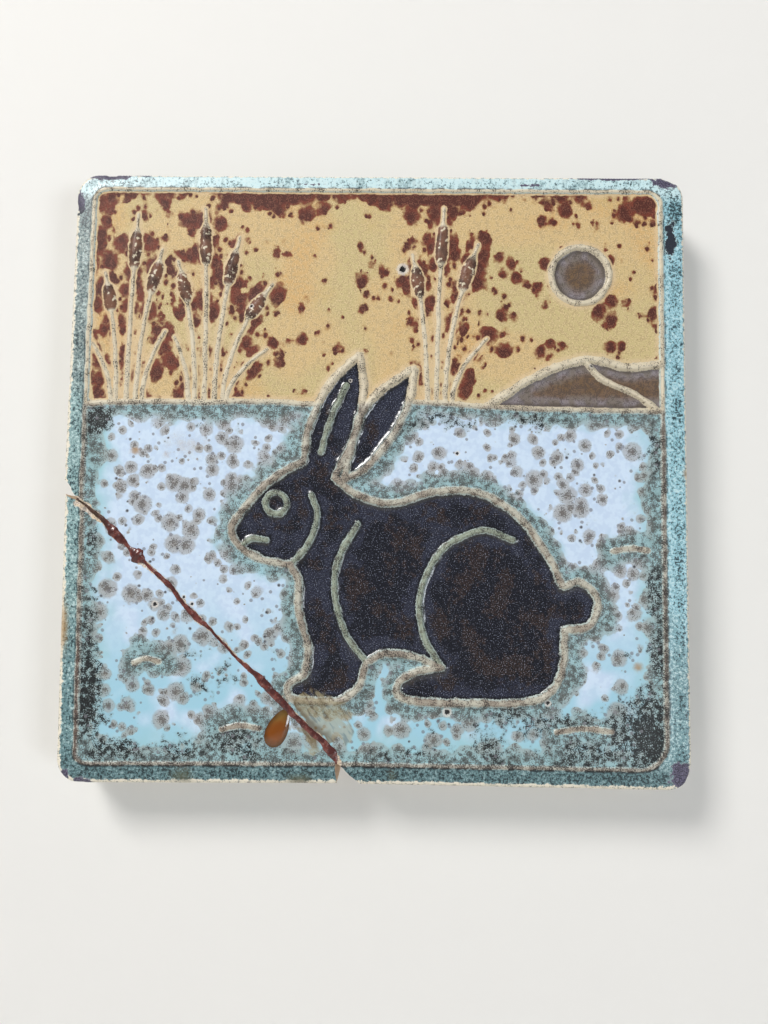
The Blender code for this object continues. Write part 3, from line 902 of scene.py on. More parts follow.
    def edge_drop(self, places: Array) -> Array:
        """Measures how far the rounded edge of the tile falls away below the face.

        Args:
            places: The places to measure.

        Returns:
            The drop at each of them.
        """
        radius = self.form.edge_round
        short = np.clip(radius - self.form.edge_gap(places), 0, radius)
        return radius - np.sqrt(radius**2 - short**2)

    def nicks(self, places: Array, masks: dict[str, Array]) -> Array:
        """Measures how deep the edge is chipped and the glaze pitted.

        Args:
            places: The places to measure.
            masks: The masks read so far.

        Returns:
            The depth at each of them.
        """
        depth = self.PIT_DEPTH * eased(masks["pit"], 1.1, 0.4)
        for across, up, radius, deep in self.CHIPS:
            away = np.linalg.norm(places - (across, up), axis=1) / radius
            depth = np.maximum(depth, deep * eased(away, 1.1, 0.5))
        return depth


# The pieces


@dataclass
class FiredPiece:
    """One piece of the broken tile: its lifted face, its walls and its grooved back."""

    name: str
    node: str
    side: Side
    relief: Relief
    wall_rows: int = 9
    back_step: float = 4.0
    groove_count: int = 8
    groove_pitch: float = 15.0
    groove_width: float = 4.0
    groove_floor: float = 2.8
    groove_depth: float = 1.2
    groove_end: float = 14.0

    # Points closer together than this are one
    LEAST: ClassVar[float] = 0.03
    EDGE_FREE: ClassVar[float] = 2.2
    EDGE_ROWS: ClassVar[tuple[float, ...]] = (0, 0.06, 0.2, 0.42, 0.7, 1, 1.5)
    PIT_ROWS: ClassVar[tuple[float, ...]] = (0.3, 0.6, 0.9, 1.2)
    CHIP_ROWS: ClassVar[tuple[float, ...]] = (0.25, 0.5, 0.7, 0.9, 1.1, 1.3)
    SHARP: ClassVar[float] = 52.0
    # How rough the walls are and how far they lie in, first on the glazed sides and then in the break
    WALL_ROUGH: ClassVar[Pair] = (0.10, 0.05)
    WALL_SUNK: ClassVar[Pair] = (0.10, 0.06)

    def edge(self) -> Array:
        """This piece's broken edge, in its own unbroken place."""
        edge = self.relief.crack.edge(self.side)
        return edge if self.side is Side.BODY else self.relief.form.to_corner(edge)

    def free_points(self) -> Array:
        """Lays out the even points of the face that are clear of the raised lines and of the edge.

        Returns:
            The points.
        """
        grid = self.relief.grid()
        crowded = np.zeros(len(grid), bool)
        for line in self.relief.picture.lines:
            near = close_to(grid, line.route, 3)
            distance, half, _, _ = line.measure(grid[near])
            crowded[near] |= distance < 1.75 * half + 0.1
        return grid[~crowded & (self.relief.form.edge_gap(grid) > self.EDGE_FREE)]

    def flat(self) -> tuple[Array, Array]:
        """Cuts the flat drawing into triangles.

        Returns:
            The points, and the triangles that lie on this piece.
        """
        form, relief, edge = self.relief.form, self.relief, self.edge()
        outline, *rows = [form.outline(share * form.edge_round) for share in self.EDGE_ROWS]
        rows += [line.mesh_points() for line in relief.picture.lines]
        rows += [relief.crack.mesh_points(self.side), self.pit_points(), self.free_points()]
        points = np.vstack(rows)
        points = points[form.edge_gap(points) > 0.02]
        first = len(outline)
        edges = [(k, (k + 1) % first) for k in range(first)]
        edges += [(first + k, first + k + 1) for k in range(len(edge) - 1)]
        corners = [Vector(place) for place in np.vstack([outline, edge, points]).tolist()]
        flat, _, faces, *_ = delaunay_2d_cdt(corners, edges, [], 0, self.LEAST)
        flat, faces = np.array(flat), np.array(faces)
        middles = flat[faces].mean(1)
        on_corner = inside(middles, relief.crack.beyond(edge))
        return flat, faces[inside(middles, outline) & (on_corner == (self.side is Side.CORNER))]

    def pit_points(self) -> Array:
        """Lays out small rings of points round each pinhole and each chip of the edge.

        Returns:
            The points.
        """
        rings = []
        for across, up, radius in self.relief.PITS:
            rings += [ring((across, up), radius * share, 12) for share in self.PIT_ROWS]
        for across, up, radius, _ in self.relief.CHIPS:
            rings += [ring((across, up), radius * share, 16) for share in self.CHIP_ROWS]
        return np.vstack(rings)

    @property
    def groove_rows(self) -> Array:
        """How far up each keying groove lies."""
        return (np.arange(self.groove_count) - (self.groove_count - 1) / 2) * self.groove_pitch

    @property
    def groove_reach(self) -> float:
        """How far from the middle the round ends of the grooves start."""
        return self.relief.form.width / 2 - self.groove_end - self.groove_width / 2

    def groove(self, places: Array) -> Array:
        """Measures how deep the keying grooves are.

        Args:
            places: Places on the back.

        Returns:
            The depth at each of them.
        """
        up = np.abs(places[:, 1:] - self.groove_rows[None]).min(1)
        across = np.maximum(np.abs(places[:, 0]) - self.groove_reach, 0)
        slope = (self.groove_width - self.groove_floor) / 2
        return self.groove_depth * np.clip((self.groove_width / 2 - np.hypot(up, across)) / slope, 0, 1)

    def groove_points(self) -> Array:
        """Lays out points along the feet and shoulders of the keying grooves.

        Returns:
            The points.
        """
        loops = []
        for middle in self.groove_rows:
            for half in (self.groove_width / 2, self.groove_floor / 2):
                across = self.groove_reach + half
                box = (-across, across, middle - half, middle + half)
                loops.append(resampled(rounded_rectangle(box, (half * 0.999,) * 4, 6), 1.2, True))
        return np.vstack(loops)

    def border(self, faces: Array) -> Array:
        """Follows the face's border.

        Args:
            faces: The triangles of the face.

        Returns:
            The indices of the points round it, in order.
        """
        sides = np.vstack([faces[:, [0, 1]], faces[:, [1, 2]], faces[:, [2, 0]]])
        count = int(faces.max()) + 1
        keys = sides[:, 0] * count + sides[:, 1]
        mirrored = sides[:, 1] * count + sides[:, 0]
        follow = dict(sides[~np.isin(keys, mirrored)].tolist())
        loop = [next(iter(follow))]
        while follow[loop[-1]] != loop[0]:
            loop.append(follow[loop[-1]])
        return np.array(loop)

    def build(self) -> bpy.types.Object:
        """Builds the piece where it hangs.

        Returns:
            The object, closed all round, with its masks as attributes.
        """
        form = self.relief.form
        flat, faces = self.flat()
        used, faces = np.unique(faces, return_inverse=True)
        flat, faces = flat[used], faces.reshape(-1, 3)
        height, masks = self.relief.read(flat, self.side)
        face_points = np.column_stack([flat[:, 0], -form.thickness - height, flat[:, 1]])
        loop = self.border(faces)
        rims, wall_faces, wall_kinds = self.walls(face_points, loop, len(flat))
        back_points, back_faces = self.back(rims[-1], len(flat) + (self.wall_rows - 1) * len(loop))
        points = np.vstack([face_points, *rims, back_points])
        mesh = bpy.data.meshes.new(self.name)
        mesh.from_pydata((points * METRES).tolist(), [], [*faces.tolist(), *wall_faces, *back_faces])
        kinds = self.slots(faces, masks) + wall_kinds + [Surface.BACK.value] * len(back_faces)
        mesh.polygons.foreach_set("material_index", kinds)
        for name, values in masks.items():
            layer = mesh.attributes.new(name, "FLOAT", "POINT")
            rest = np.full(len(points) - len(values), Relief.CLEAR if name.endswith("gap") else 0.0)
            layer.data.foreach_set("value", np.concatenate([values, rest]).astype(np.float32))
        mesh.shade_smooth()
        mesh.set_sharp_from_angle(angle=math.radians(self.SHARP))
        mesh.validate()
        piece = in_scene(self.name, mesh)
        if self.side is Side.CORNER:
            piece.location = (form.shift[0] * METRES, 0, form.shift[1] * METRES)
            piece.rotation_euler = (0, form.turn, 0)
        return piece

    def slots(self, faces: Array, masks: dict[str, Array]) -> list[int]:
        """Finds the glaze that the middle of each triangle lies in.

        Args:
            faces: The triangles of the face.
            masks: The masks of its points.

        Returns:
            The slot of each triangle.
        """
        names = ("rim_side", "sky_side", "cell_side", "figure_side")
        rim, sky, cell, figure = (masks[name][faces].mean(1) for name in names)
        slots = np.where(sky > 0, Surface.SKY.value, Surface.FIELD.value)
        slots[cell > 0] = Surface.CELL.value
        slots[rim < 0] = Surface.LAND.value
        slots[figure > 0] = Surface.HARE.value
        return slots.tolist()

    def walls(self, face_points: Array, loop: Array, first: int) -> tuple[list, list, list]:
        """Builds the rows of points down to the back.

        Args:
            face_points: The lifted points of the face.
            loop: The points round its border, in order.
            first: The index that the first new point gets.

        Returns:
            The rows of points, the faces between them and the slot of each face.
        """
        top = face_points[loop]
        flat = top[:, [0, 2]]
        ahead = np.roll(flat, -1, 0) - np.roll(flat, 1, 0)
        outward = np.column_stack([ahead[:, 1], -ahead[:, 0]]) / np.linalg.norm(ahead, axis=1)[:, None]
        outer = self.relief.form.edge_gap(flat) < 0.05
        roughness, sunk = (np.where(outer, *pair) for pair in (self.WALL_ROUGH, self.WALL_SUNK))
        rims = []
        for row in range(1, self.wall_rows + 1):
            share = row / self.wall_rows
            depth = top[:, 1] * (1 - share)
            rough = roughness * ripple(flat + (0, 40 * share), 3.0, 9.9 + 3 * share, 3)
            rough = rough * min(1, 4 * share * (1 - share) + 0.3) - sunk
            place = flat + outward * np.minimum(rough, -0.02)[:, None]
            rims.append(np.column_stack([place[:, 0], depth, place[:, 1]]))
        indices = [loop, *[first + row * len(loop) + np.arange(len(loop)) for row in range(self.wall_rows)]]
        both = outer & np.roll(outer, -1)
        wall_faces, kinds = [], []
        for upper, lower in zip(indices, indices[1:]):
            quads = np.column_stack([upper, lower, np.roll(lower, -1), np.roll(upper, -1)])
            wall_faces += quads.tolist()
            kinds += np.where(both, Surface.FLANK.value, Surface.FRACTURE.value).tolist()
        return rims, wall_faces, kinds

    def back(self, border: Array, first: int) -> tuple[Array, list]:
        """Builds the back.

        Args:
            border: The last row of the walls.
            first: The index of that row's first point.

        Returns:
            The new points, and the triangles of the back.
        """
        loop, form = border[:, [0, 2]], self.relief.form
        halves = (form.width / 2, form.height / 2)
        x, y = np.meshgrid(*[np.arange(-half + 3, half - 2, self.back_step) for half in halves])
        places = np.vstack([np.column_stack([x.ravel(), y.ravel()]), self.groove_points()])
        places = places[inside(places, loop) & (from_loop(places, loop) > 0.3)]
        corners = [Vector(place) for place in np.vstack([loop, places]).tolist()]
        edges = [(k, (k + 1) % len(loop)) for k in range(len(loop))]
        flat, _, faces, sources, *_ = delaunay_2d_cdt(corners, edges, [], 1, 1e-5)
        flat = np.array(flat)
        source = np.array([group[0] if group else -1 for group in sources])
        on_border = (source >= 0) & (source < len(loop))
        fresh = np.cumsum(~on_border) - 1
        index = np.where(on_border, first + source, first + len(loop) + fresh)
        points = np.column_stack([flat[:, 0], -self.groove(flat), flat[:, 1]])[~on_border]
        return points, [[int(index[k]) for k in reversed(corner)] for corner in faces]


@dataclass
class GlueSeam:
    """The old glue: a thin sheet in the joint, with beads of uneven width along the face."""

    relief: Relief
    name: str = "glue_bead"
    node: str = "glue_seam"
    foot: float = 1.0
    sink: float = 0.35
    bond: float = 0.03
    tuck: float = 0.12
    rise_share: float = 0.42
    dome_steps: int = 10

    def build(self) -> bpy.types.Object:
        """Builds the seam along the break.

        Returns:
            The object, closed all round.
        """
        crack, route, face = self.relief.crack, self.relief.crack.route, -self.relief.form.thickness
        wide = crack.bead * (1 + 0.30 * ripple(route, 2.2, 91.0)) + 0.05
        sway = beside(route, 0.22 * crack.bead * ripple(route, 3.0, 33.0))
        sheet = self.relief.form.joint / 2 + self.bond
        away = beside(route, 1.0) - route
        angles = np.linspace(0, math.pi, self.dome_steps + 1)
        rows = []
        for k, ((x, z), (right, up)) in enumerate(zip(sway, away)):
            half = max(wide[k], sheet)
            crest = self.rise_share * (wide[k] - 0.3) * (1 + 0.2 * math.sin(k * 0.9)) + 0.1
            section = [(-sheet, -self.foot), (-sheet, face + self.sink)]
            section += [(-half * math.cos(a), face + self.tuck - crest * math.sin(a)) for a in angles]
            section += [(sheet, face + self.sink), (sheet, -self.foot)]
            rows.append([(x + right * out, depth, z + up * out) for out, depth in section])
        return swept(self.name, rows)


def swept(name: str, rows: list) -> bpy.types.Object:
    """Joins rings of points into a closed tube.

    Args:
        name: The new object's name.
        rows: The rings, each a list of points in millimetres.

    Returns:
        The object.
    """
    count = len(rows[0])
    points = [tuple(value * METRES for value in point) for row in rows for point in row]
    faces = []
    for k in range(len(rows) - 1):
        for a in range(count):
            b = (a + 1) % count
            faces.append((k * count + a, k * count + b, (k + 1) * count + b, (k + 1) * count + a))
    faces.append(tuple(range(count))[::-1])
    faces.append(tuple((len(rows) - 1) * count + a for a in range(count)))
    mesh = bpy.data.meshes.new(name)
    mesh.from_pydata(points, [], faces)
    mesh.shade_smooth()
    mesh.set_sharp_from_angle(angle=math.radians(60))
    return in_scene(name, mesh)


@dataclass
class AmberDrop:
    """A flat drop of clear glue that ran out of the joint onto the corner piece."""

    form: TileForm
    name: str = "amber_drop"
    middle: Pair = (-21.4, -60.9)
    length: float = 10.2
    width: float = 5.3
    rise: float = 0.8
    lean: float = math.radians(66)
    taper: float = 0.28
    droop: float = 0.25
    dome: float = 2.6
    tuck: float = 0.12
    skirt: float = 0.35
    rings: int = 9
    turns: int = 40

    def build(self) -> bpy.types.Object:
        """Builds the drop on the face.

        Returns:
            The object, closed all round.
        """
        rows, shares = [], [1 - k / self.rings for k in range(self.rings + 1)]
        for share in shares:
            row = []
            for turn in range(self.turns):
                angle = turn / self.turns * 2 * math.pi
                narrow = 1 - self.taper * math.cos(angle)
                along = self.length / 2 * math.cos(angle) * share
                aside = self.width / 2 * math.sin(angle) * narrow * share
                x = self.middle[0] + along * math.cos(self.lean) - aside * math.sin(self.lean)
                y = self.middle[1] + along * math.sin(self.lean) + aside * math.cos(self.lean)
                lift = self.rise * (1 - share**self.dome) * (1 - self.droop * math.cos(angle) * share)
                row.append((x, -self.form.thickness + self.tuck - lift, y))
            rows.append(row)
        skirt = [(x, depth + self.skirt, y) for x, depth, y in rows[0]]
        drop = swept(self.name, [skirt, *rows])
        rim = drop.data.attributes.new("rim", "FLOAT", "POINT")
        rim.data.foreach_set("value", np.repeat([1.0, *shares], self.turns).astype(np.float32))
        return drop


# Node trees


def linear(red: int, green: int, blue: int) -> Colour:
    """A colour as seen on a screen, 0 to 255 each, in the shader's linear numbers."""
    shares = [value / 255 for value in (red, green, blue)]
    return (*[s / 12.92 if s <= 0.04045 else ((s + 0.055) / 1.055) ** 2.4 for s in shares], 1.0)


class Wire:
    """A value that a node puts out. Sums, products and blends of it are made by further nodes."""

    def __init__(self, graph: "Graph", socket: bpy.types.NodeSocket) -> None:
        """Takes the tree, and the socket that puts the value out."""
        self.graph, self.socket = graph, socket

    def __add__(self, other: "Value") -> "Wire":
        """The sum."""
        return self.graph.math("ADD", self, other)

    def __sub__(self, other: "Value") -> "Wire":
        """The difference."""
        return self.graph.math("SUBTRACT", self, other)

    def __rsub__(self, other: "Value") -> "Wire":
        """The difference from a number."""
        return self.graph.math("SUBTRACT", other, self)

    def __mul__(self, other: "Value") -> "Wire":
        """The product."""
        return self.graph.math("MULTIPLY", self, other)

    def __truediv__(self, other: "Value") -> "Wire":
        """The quotient."""
        return self.graph.math("DIVIDE", self, other)

    def __rtruediv__(self, other: "Value") -> "Wire":
        """The quotient of a number and this."""
        return self.graph.math("DIVIDE", other, self)

    def __abs__(self) -> "Wire":
        """The value without its sign."""
        return self.graph.math("ABSOLUTE", self)

    __radd__, __rmul__ = __add__, __mul__

    def ease(self, low: "Value", high: "Value", start: "Value" = 0.0, stop: "Value" = 1.0) -> "Wire":
        """A smooth step from start, where this is low, to stop, where it is high."""
        inputs = {"Value": self, "From Min": low, "From Max": high, "To Min": start, "To Max": stop}
        return self.graph.put("MapRange", inputs, interpolation_type="SMOOTHSTEP")

    def mix(self, first: "Value", second: "Value") -> "Wire":
        """A colour between two, by this share."""
        return self.graph.put("Mix", {0: self, 6: first, 7: second}, out=2, data_type="RGBA")

    def blend(self, first: "Value", second: "Value") -> "Wire":
        """A number between two, by this share."""
        return self.graph.put("Mix", {0: self, 2: first, 3: second}, data_type="FLOAT")

    def cloud(self, size: float, detail: float = 1.0, dimensions: str = "2D") -> "Wire":
        """Noise at this place, from 0 to 1, with bumps of a size in millimetres."""
        inputs = {"Vector": self, "Scale": 1 / size, "Detail": detail}
        return self.graph.put("TexNoise", inputs, noise_dimensions=dimensions)

    def moved(self, offset: Triple = (0.0, 0.0, 0.0), scale: Triple = (1.0, 1.0, 1.0)) -> "Wire":
        """This place moved and stretched, to read another part of a pattern."""
        return self.graph.put("Mapping", {"Vector": self, "Location": offset, "Scale": scale})

    def split(self, kind: str = "XYZ") -> list["Wire"]:
        """The three parts of this place, or of this Color."""
        node = self.graph.add("Separate" + kind, {0: self})
        return [Wire(self.graph, part) for part in node.outputs]


Value = float | tuple[float, ...] | Wire
Feeds = dict[str | int, Value]


class Graph:
    """A node tree, to which nodes are added in short calls."""

    def __init__(self, tree: bpy.types.NodeTree) -> None:
        """Takes the tree to add to."""
        self.tree = tree

    def feed(self, socket: bpy.types.NodeSocket, value: Value | bpy.types.NodeSocket) -> None:
        """Links a socket, or sets its value.

        Args:
            socket: The socket to feed.
            value: A number or colour, or what another node puts out.
        """
        source = value.socket if isinstance(value, Wire) else value
        if isinstance(source, bpy.types.NodeSocket):
            self.tree.links.new(source, socket)
        else:
            socket.default_value = source

    def add(self, kind: str, inputs: Feeds | None = None, **settings: object) -> bpy.types.Node:
        """Adds a node.

        Args:
            kind: The node's type, without its first word.
            inputs: What feeds its sockets, by name or number.
            settings: The node's own settings.

        Returns:
            The node.
        """
        node = self.tree.nodes.new(kind if kind.startswith("NodeGroup") else "ShaderNode" + kind)
        for name, value in settings.items():
            setattr(node, name, value)
        for name, value in (inputs or {}).items():
            self.feed(node.inputs[name], value)
        return node

    def put(self, kind: str, inputs: Feeds | None = None, out: str | int = 0, **settings: object) -> Wire:
        """Adds a node, as add does, and gives the value of its output out."""
        return Wire(self, self.add(kind, inputs, **settings).outputs[out])

    def math(self, operation: str, *values: Value) -> Wire:
        """The result of one sum."""
        return self.put("Math", dict(enumerate(values)), operation=operation)

    def mask(self, name: str) -> Wire:
        """A mask that the mesh carries."""
        return self.put("Attribute", out="Fac", attribute_type="GEOMETRY", attribute_name=name)

    def place(self) -> Wire:
        """The surface point's place in millimetres."""
        where = self.put("TexCoord", out="Object")
        return self.put("VectorMath", {0: where, "Scale": 1 / METRES}, operation="SCALE")


def most(first: Wire, *others: Value) -> Wire:
    """The largest of several values.

    Args:
        first: One of them.
        others: The others.

    Returns:
        The largest at each point.
    """
    for other in others:
        first = first.graph.math("MAXIMUM", first, other)
    return first


class Coat:
    """A colour that is painted over in layers."""

    def __init__(self, colour: Value) -> None:
        """Takes the lowest layer."""
        self.colour = colour

    def lay(self, colour: Value, share: Wire) -> None:
        """Paints a share of the surface over, from 0 for none to 1 for all of it."""
        self.colour = share.mix(self.colour, colour)


class Effect:
    """A shader node group that is built once and placed in each material that needs it."""

    NAME: ClassVar[str]
    INPUTS: ClassVar[dict[str, str]]
    OUTPUTS: ClassVar[dict[str, str]]

    def build(self, given: Parts) -> Feeds:
        """Adds the group's nodes.

        Args:
            given: The group's inputs.

        Returns:
            What feeds its outputs, by name.
        """
        raise NotImplementedError

    def tree(self) -> bpy.types.NodeTree:
        """Makes the group's tree the first time that it is asked for.

        Returns:
            The tree.
        """
        found = bpy.data.node_groups.get(self.NAME)
        if found:
            return found
        tree = bpy.data.node_groups.new(self.NAME, "ShaderNodeTree")
        for direction, sockets in (("INPUT", self.INPUTS), ("OUTPUT", self.OUTPUTS)):
            for name, kind in sockets.items():
                tree.interface.new_socket(name=name, in_out=direction, socket_type="NodeSocket" + kind)
        graph = Graph(tree)
        entry = graph.add("NodeGroupInput")
        given = Parts(**{name: Wire(graph, entry.outputs[name]) for name in self.INPUTS})
        graph.add("NodeGroupOutput", self.build(given))
        return tree

    def place(self, graph: Graph, **inputs: Value) -> Parts:
        """Places the group in a tree.

        Args:
            graph: The tree.
            inputs: What feeds the group.

        Returns:
            The group's outputs.
        """
        node = graph.add("Group", inputs, node_tree=self.tree())
        return Parts(**{name: Wire(graph, node.outputs[name]) for name in self.OUTPUTS})


NOISES = {name: "Float" for name in ("grit", "pits", "specks", "small", "middle", "wide")}
SKIN = {"colour": "Color", "roughness": "Float", "height": "Float"}
SHADER_SOCKETS = {"colour": "Base Color", "roughness": "Roughness", "height": "Normal"}


def skin(colour: Value, roughness: Value, height: Value) -> Feeds:
    """What a glaze puts out, by name."""
    return dict(zip(SKIN, (colour, roughness, height)))


class Clouds(Effect):
    """Noise of several sizes, each from -0.5 to 0.5, which all glazes of the face share."""

    NAME = "clouds"
    INPUTS = {"place": "Vector"}
    OUTPUTS = NOISES

    def build(self, given: Parts) -> Feeds:
        """Reads three fine noises from one texture, then three coarser ones.

        Args:
            given: The group's inputs.

        Returns:
            The noises by name.
        """
        place = given.place
        inputs = {"Vector": place, "Scale": 3.3, "Detail": 1.0}
        fine = place.graph.put("TexNoise", inputs, out=1, noise_dimensions="2D").split("Color")
        coarse = (place.cloud(1.2), place.moved((40.0, 0.0, 0.0)).cloud(3.0), place.cloud(9.0))
        return {name: value - 0.5 for name, value in zip(NOISES, (*fine, *coarse))}


class FiredGrain(Effect):
    """The fine dark grains of a fired glaze: clumps of noise that cover about the amount asked for."""

    NAME = "fired_grain"
    INPUTS = {"noise": "Float", "clump": "Float", "amount": "Float"}
    OUTPUTS = {"grain": "Float"}

    def build(self, given: Parts) -> Feeds:
        """Cuts the noise at a level that follows the amount.

        Args:
            given: The group's inputs.

        Returns:
            The grains, by name.
        """
        cut = given.amount.graph.math("MULTIPLY_ADD", given.amount, -0.44, 0.22)
        return {"grain": (given.noise + given.clump * 0.75).ease(cut - 0.05, cut + 0.07)}


class ReactiveSpots(Effect):
    """Lobed spots of about one radius: their discs, their dark rims and how near the middle is."""

    NAME = "reactive_spots"
    INPUTS = {"place": "Vector"} | {name: "Float" for name in ("spacing", "radius", "fuzz", "grit", "small")}
    OUTPUTS = {name: "Float" for name in ("disc", "core", "ring", "halo", "chance")}

    def build(self, given: Parts) -> Feeds:
        """Measures the distance to the nearest spot's middle and makes the edge uneven.

        Args:
            given: The group's inputs.

        Returns:
            The spots' masks by name, with a chance from 0 to 1 for each spot.
        """
        graph, spacing = given.place.graph, given.spacing
        inputs = {"Vector": given.place, "Scale": 1.0 / spacing}
        cells = graph.add("TexVoronoi", inputs, voronoi_dimensions="2D")
        distance, colour = (Wire(graph, cells.outputs[name]) for name in ("Distance", "Color"))
        away = distance * spacing + (given.grit * given.fuzz + given.small * given.fuzz * 3.5)
        radius = most(given.radius, 0.01)
        share = away / radius
        disc = share.ease(1.20, 0.74) * radius.ease(0.10, 0.25)
        return {
            "disc": disc,
            "core": share.ease(0.95, 0.0) * disc,
            "ring": share.ease(0.72, 0.93) * disc,
            "halo": away.ease(radius + 0.6, radius) * radius.ease(0.2, 0.5),
            "chance": colour.split("Color")[0],
        }


def grains(noise: Wire, clump: Wire, amount: Value) -> Wire:
    """Fine grains cut from a noise, in the clumps of another."""
    return FiredGrain().place(noise.graph, noise=noise, clump=clump, amount=amount).grain


def spots(given: Parts, spacing: float, radius: Value, fuzz: float,
          scale: Triple = (1.0, 1.0, 1.0)) -> Parts:
    """Places spots of one spacing, which read their own part of the pattern.

    Args:
        given: The inputs of the glaze that they are in.
        spacing: The distance between their middles, in millimetres.
        radius: Their radius in millimetres.
        fuzz: How uneven their edges are.
        scale: How the pattern is stretched.

    Returns:
        Their masks.
    """
    place = given.place.moved((17.0 * spacing, 29.0 * spacing, 0.0), scale)
    return ReactiveSpots().place(place.graph, place=place, spacing=spacing, radius=radius, fuzz=fuzz,
                                 grit=given.grit, small=given.small)


def strongest(sizes: list[Parts], *parts: str) -> list[Wire]:
    """The largest of several sizes of spots, for each of the masks named."""
    return [most(*[getattr(spot, part) for spot in sizes]) for part in parts]


class Glaze(Effect):
    """A glaze of the face, which reads the shared noise and some of the mesh's masks."""

    OUTPUTS = SKIN
    MASKS: ClassVar[tuple[str, ...]]
    gloss: ClassVar[float] = 0.0
    shine: ClassVar[float] = 0.5

    @property
    def INPUTS(self) -> dict[str, str]:
        """The place, the noises and the masks."""
        return {"place": "Vector"} | NOISES | {name: "Float" for name in self.MASKS}


@dataclass(frozen=True)
class OchreGlaze(Glaze):
    """The sky: a sandy ochre glaze with red-brown iron blotches."""

    NAME = "ochre_glaze"
    MASKS = ("line_gap", "iron")
    shine = 0.2

    sand: Colour = linear(211, 183, 133)
    green: Colour = linear(202, 184, 134)
    orange: Colour = linear(211, 170, 112)
    halo: Colour = linear(218, 194, 160)
    light: Colour = linear(234, 212, 170)
    speck: Colour = linear(146, 116, 74)
    iron: Colour = linear(118, 54, 44)
    iron_deep: Colour = linear(76, 33, 35)
    iron_grain: Colour = linear(42, 18, 20)
    iron_light: Colour = linear(162, 100, 84)
    fringe: Colour = linear(156, 108, 62)
    # Spacing, radius, fuzz, and how much iron and how uneven a spread of it the spots need
    layers: tuple = ((5.8, 2.5, 0.50, -0.34, 2.4), (4.3, 1.7, 0.42, -0.40, 2.8), (2.7, 0.6, 0.26, -0.26, 2.6))
    tall: Triple = (1.12, 0.86, 1.0)

    def build(self, given: Parts) -> Feeds:
        """Lays the tints, the pale halo along lines, the grain and three sizes of iron spots.

        Args:
            given: The glaze's inputs.

        Returns:
            Its skin.
        """
        place, small = given.place, given.small
        coat = Coat(place.cloud(24.0).ease(0.42, 0.6).mix(self.sand, self.green))
        coat.lay(self.orange, place.moved((60.0, 10.0, 0.0)).cloud(17.0).ease(0.54, 0.74) * 0.7)
        coat.lay(self.light, grains(given.pits, small, 0.42) * 0.48)
        coat.lay(self.speck, grains(given.specks, small, 0.36) * 0.42)
        coat.lay(self.halo, (given.line_gap + small).ease(1.4, 0.2) * 0.55)
        band = given.iron.ease(0.95, 1.6)
        sizes = []
        for spacing, radius, fuzz, start, drift in self.layers:
            local = place.moved((0.0, 9 * spacing, 0.0)).cloud(1.7 * spacing, 0.0) - 0.5
            wanted = given.iron * 1.25 + local * drift + start
            size = wanted.ease(0.0, 0.7, 0.0, radius) + band * radius
            sizes.append(spots(given, spacing, size, fuzz, self.tall))
        clear = (given.line_gap + small * 0.5).ease(0.2, 0.55)
        disc, core, fringe = (mask * clear for mask in strongest(sizes, "disc", "core", "halo"))
        cloudy = core + given.wide * 1.2 + given.middle * 1.6 + small + band * 0.3
        iron = Coat(cloudy.ease(0.0, 0.75).mix(self.iron, self.iron_deep))
        iron.lay(self.iron_grain, grains(given.grit, small, 0.44) * 0.62)
        iron.lay(self.iron_light, grains(given.pits, small, 0.34) * 0.36)
        coat.lay(self.fringe, fringe * 0.5)
        coat.lay(iron.colour, disc * 0.95)
        return skin(coat.colour, disc.blend(0.46, 0.52), given.grit * 0.9 + small * 0.5)


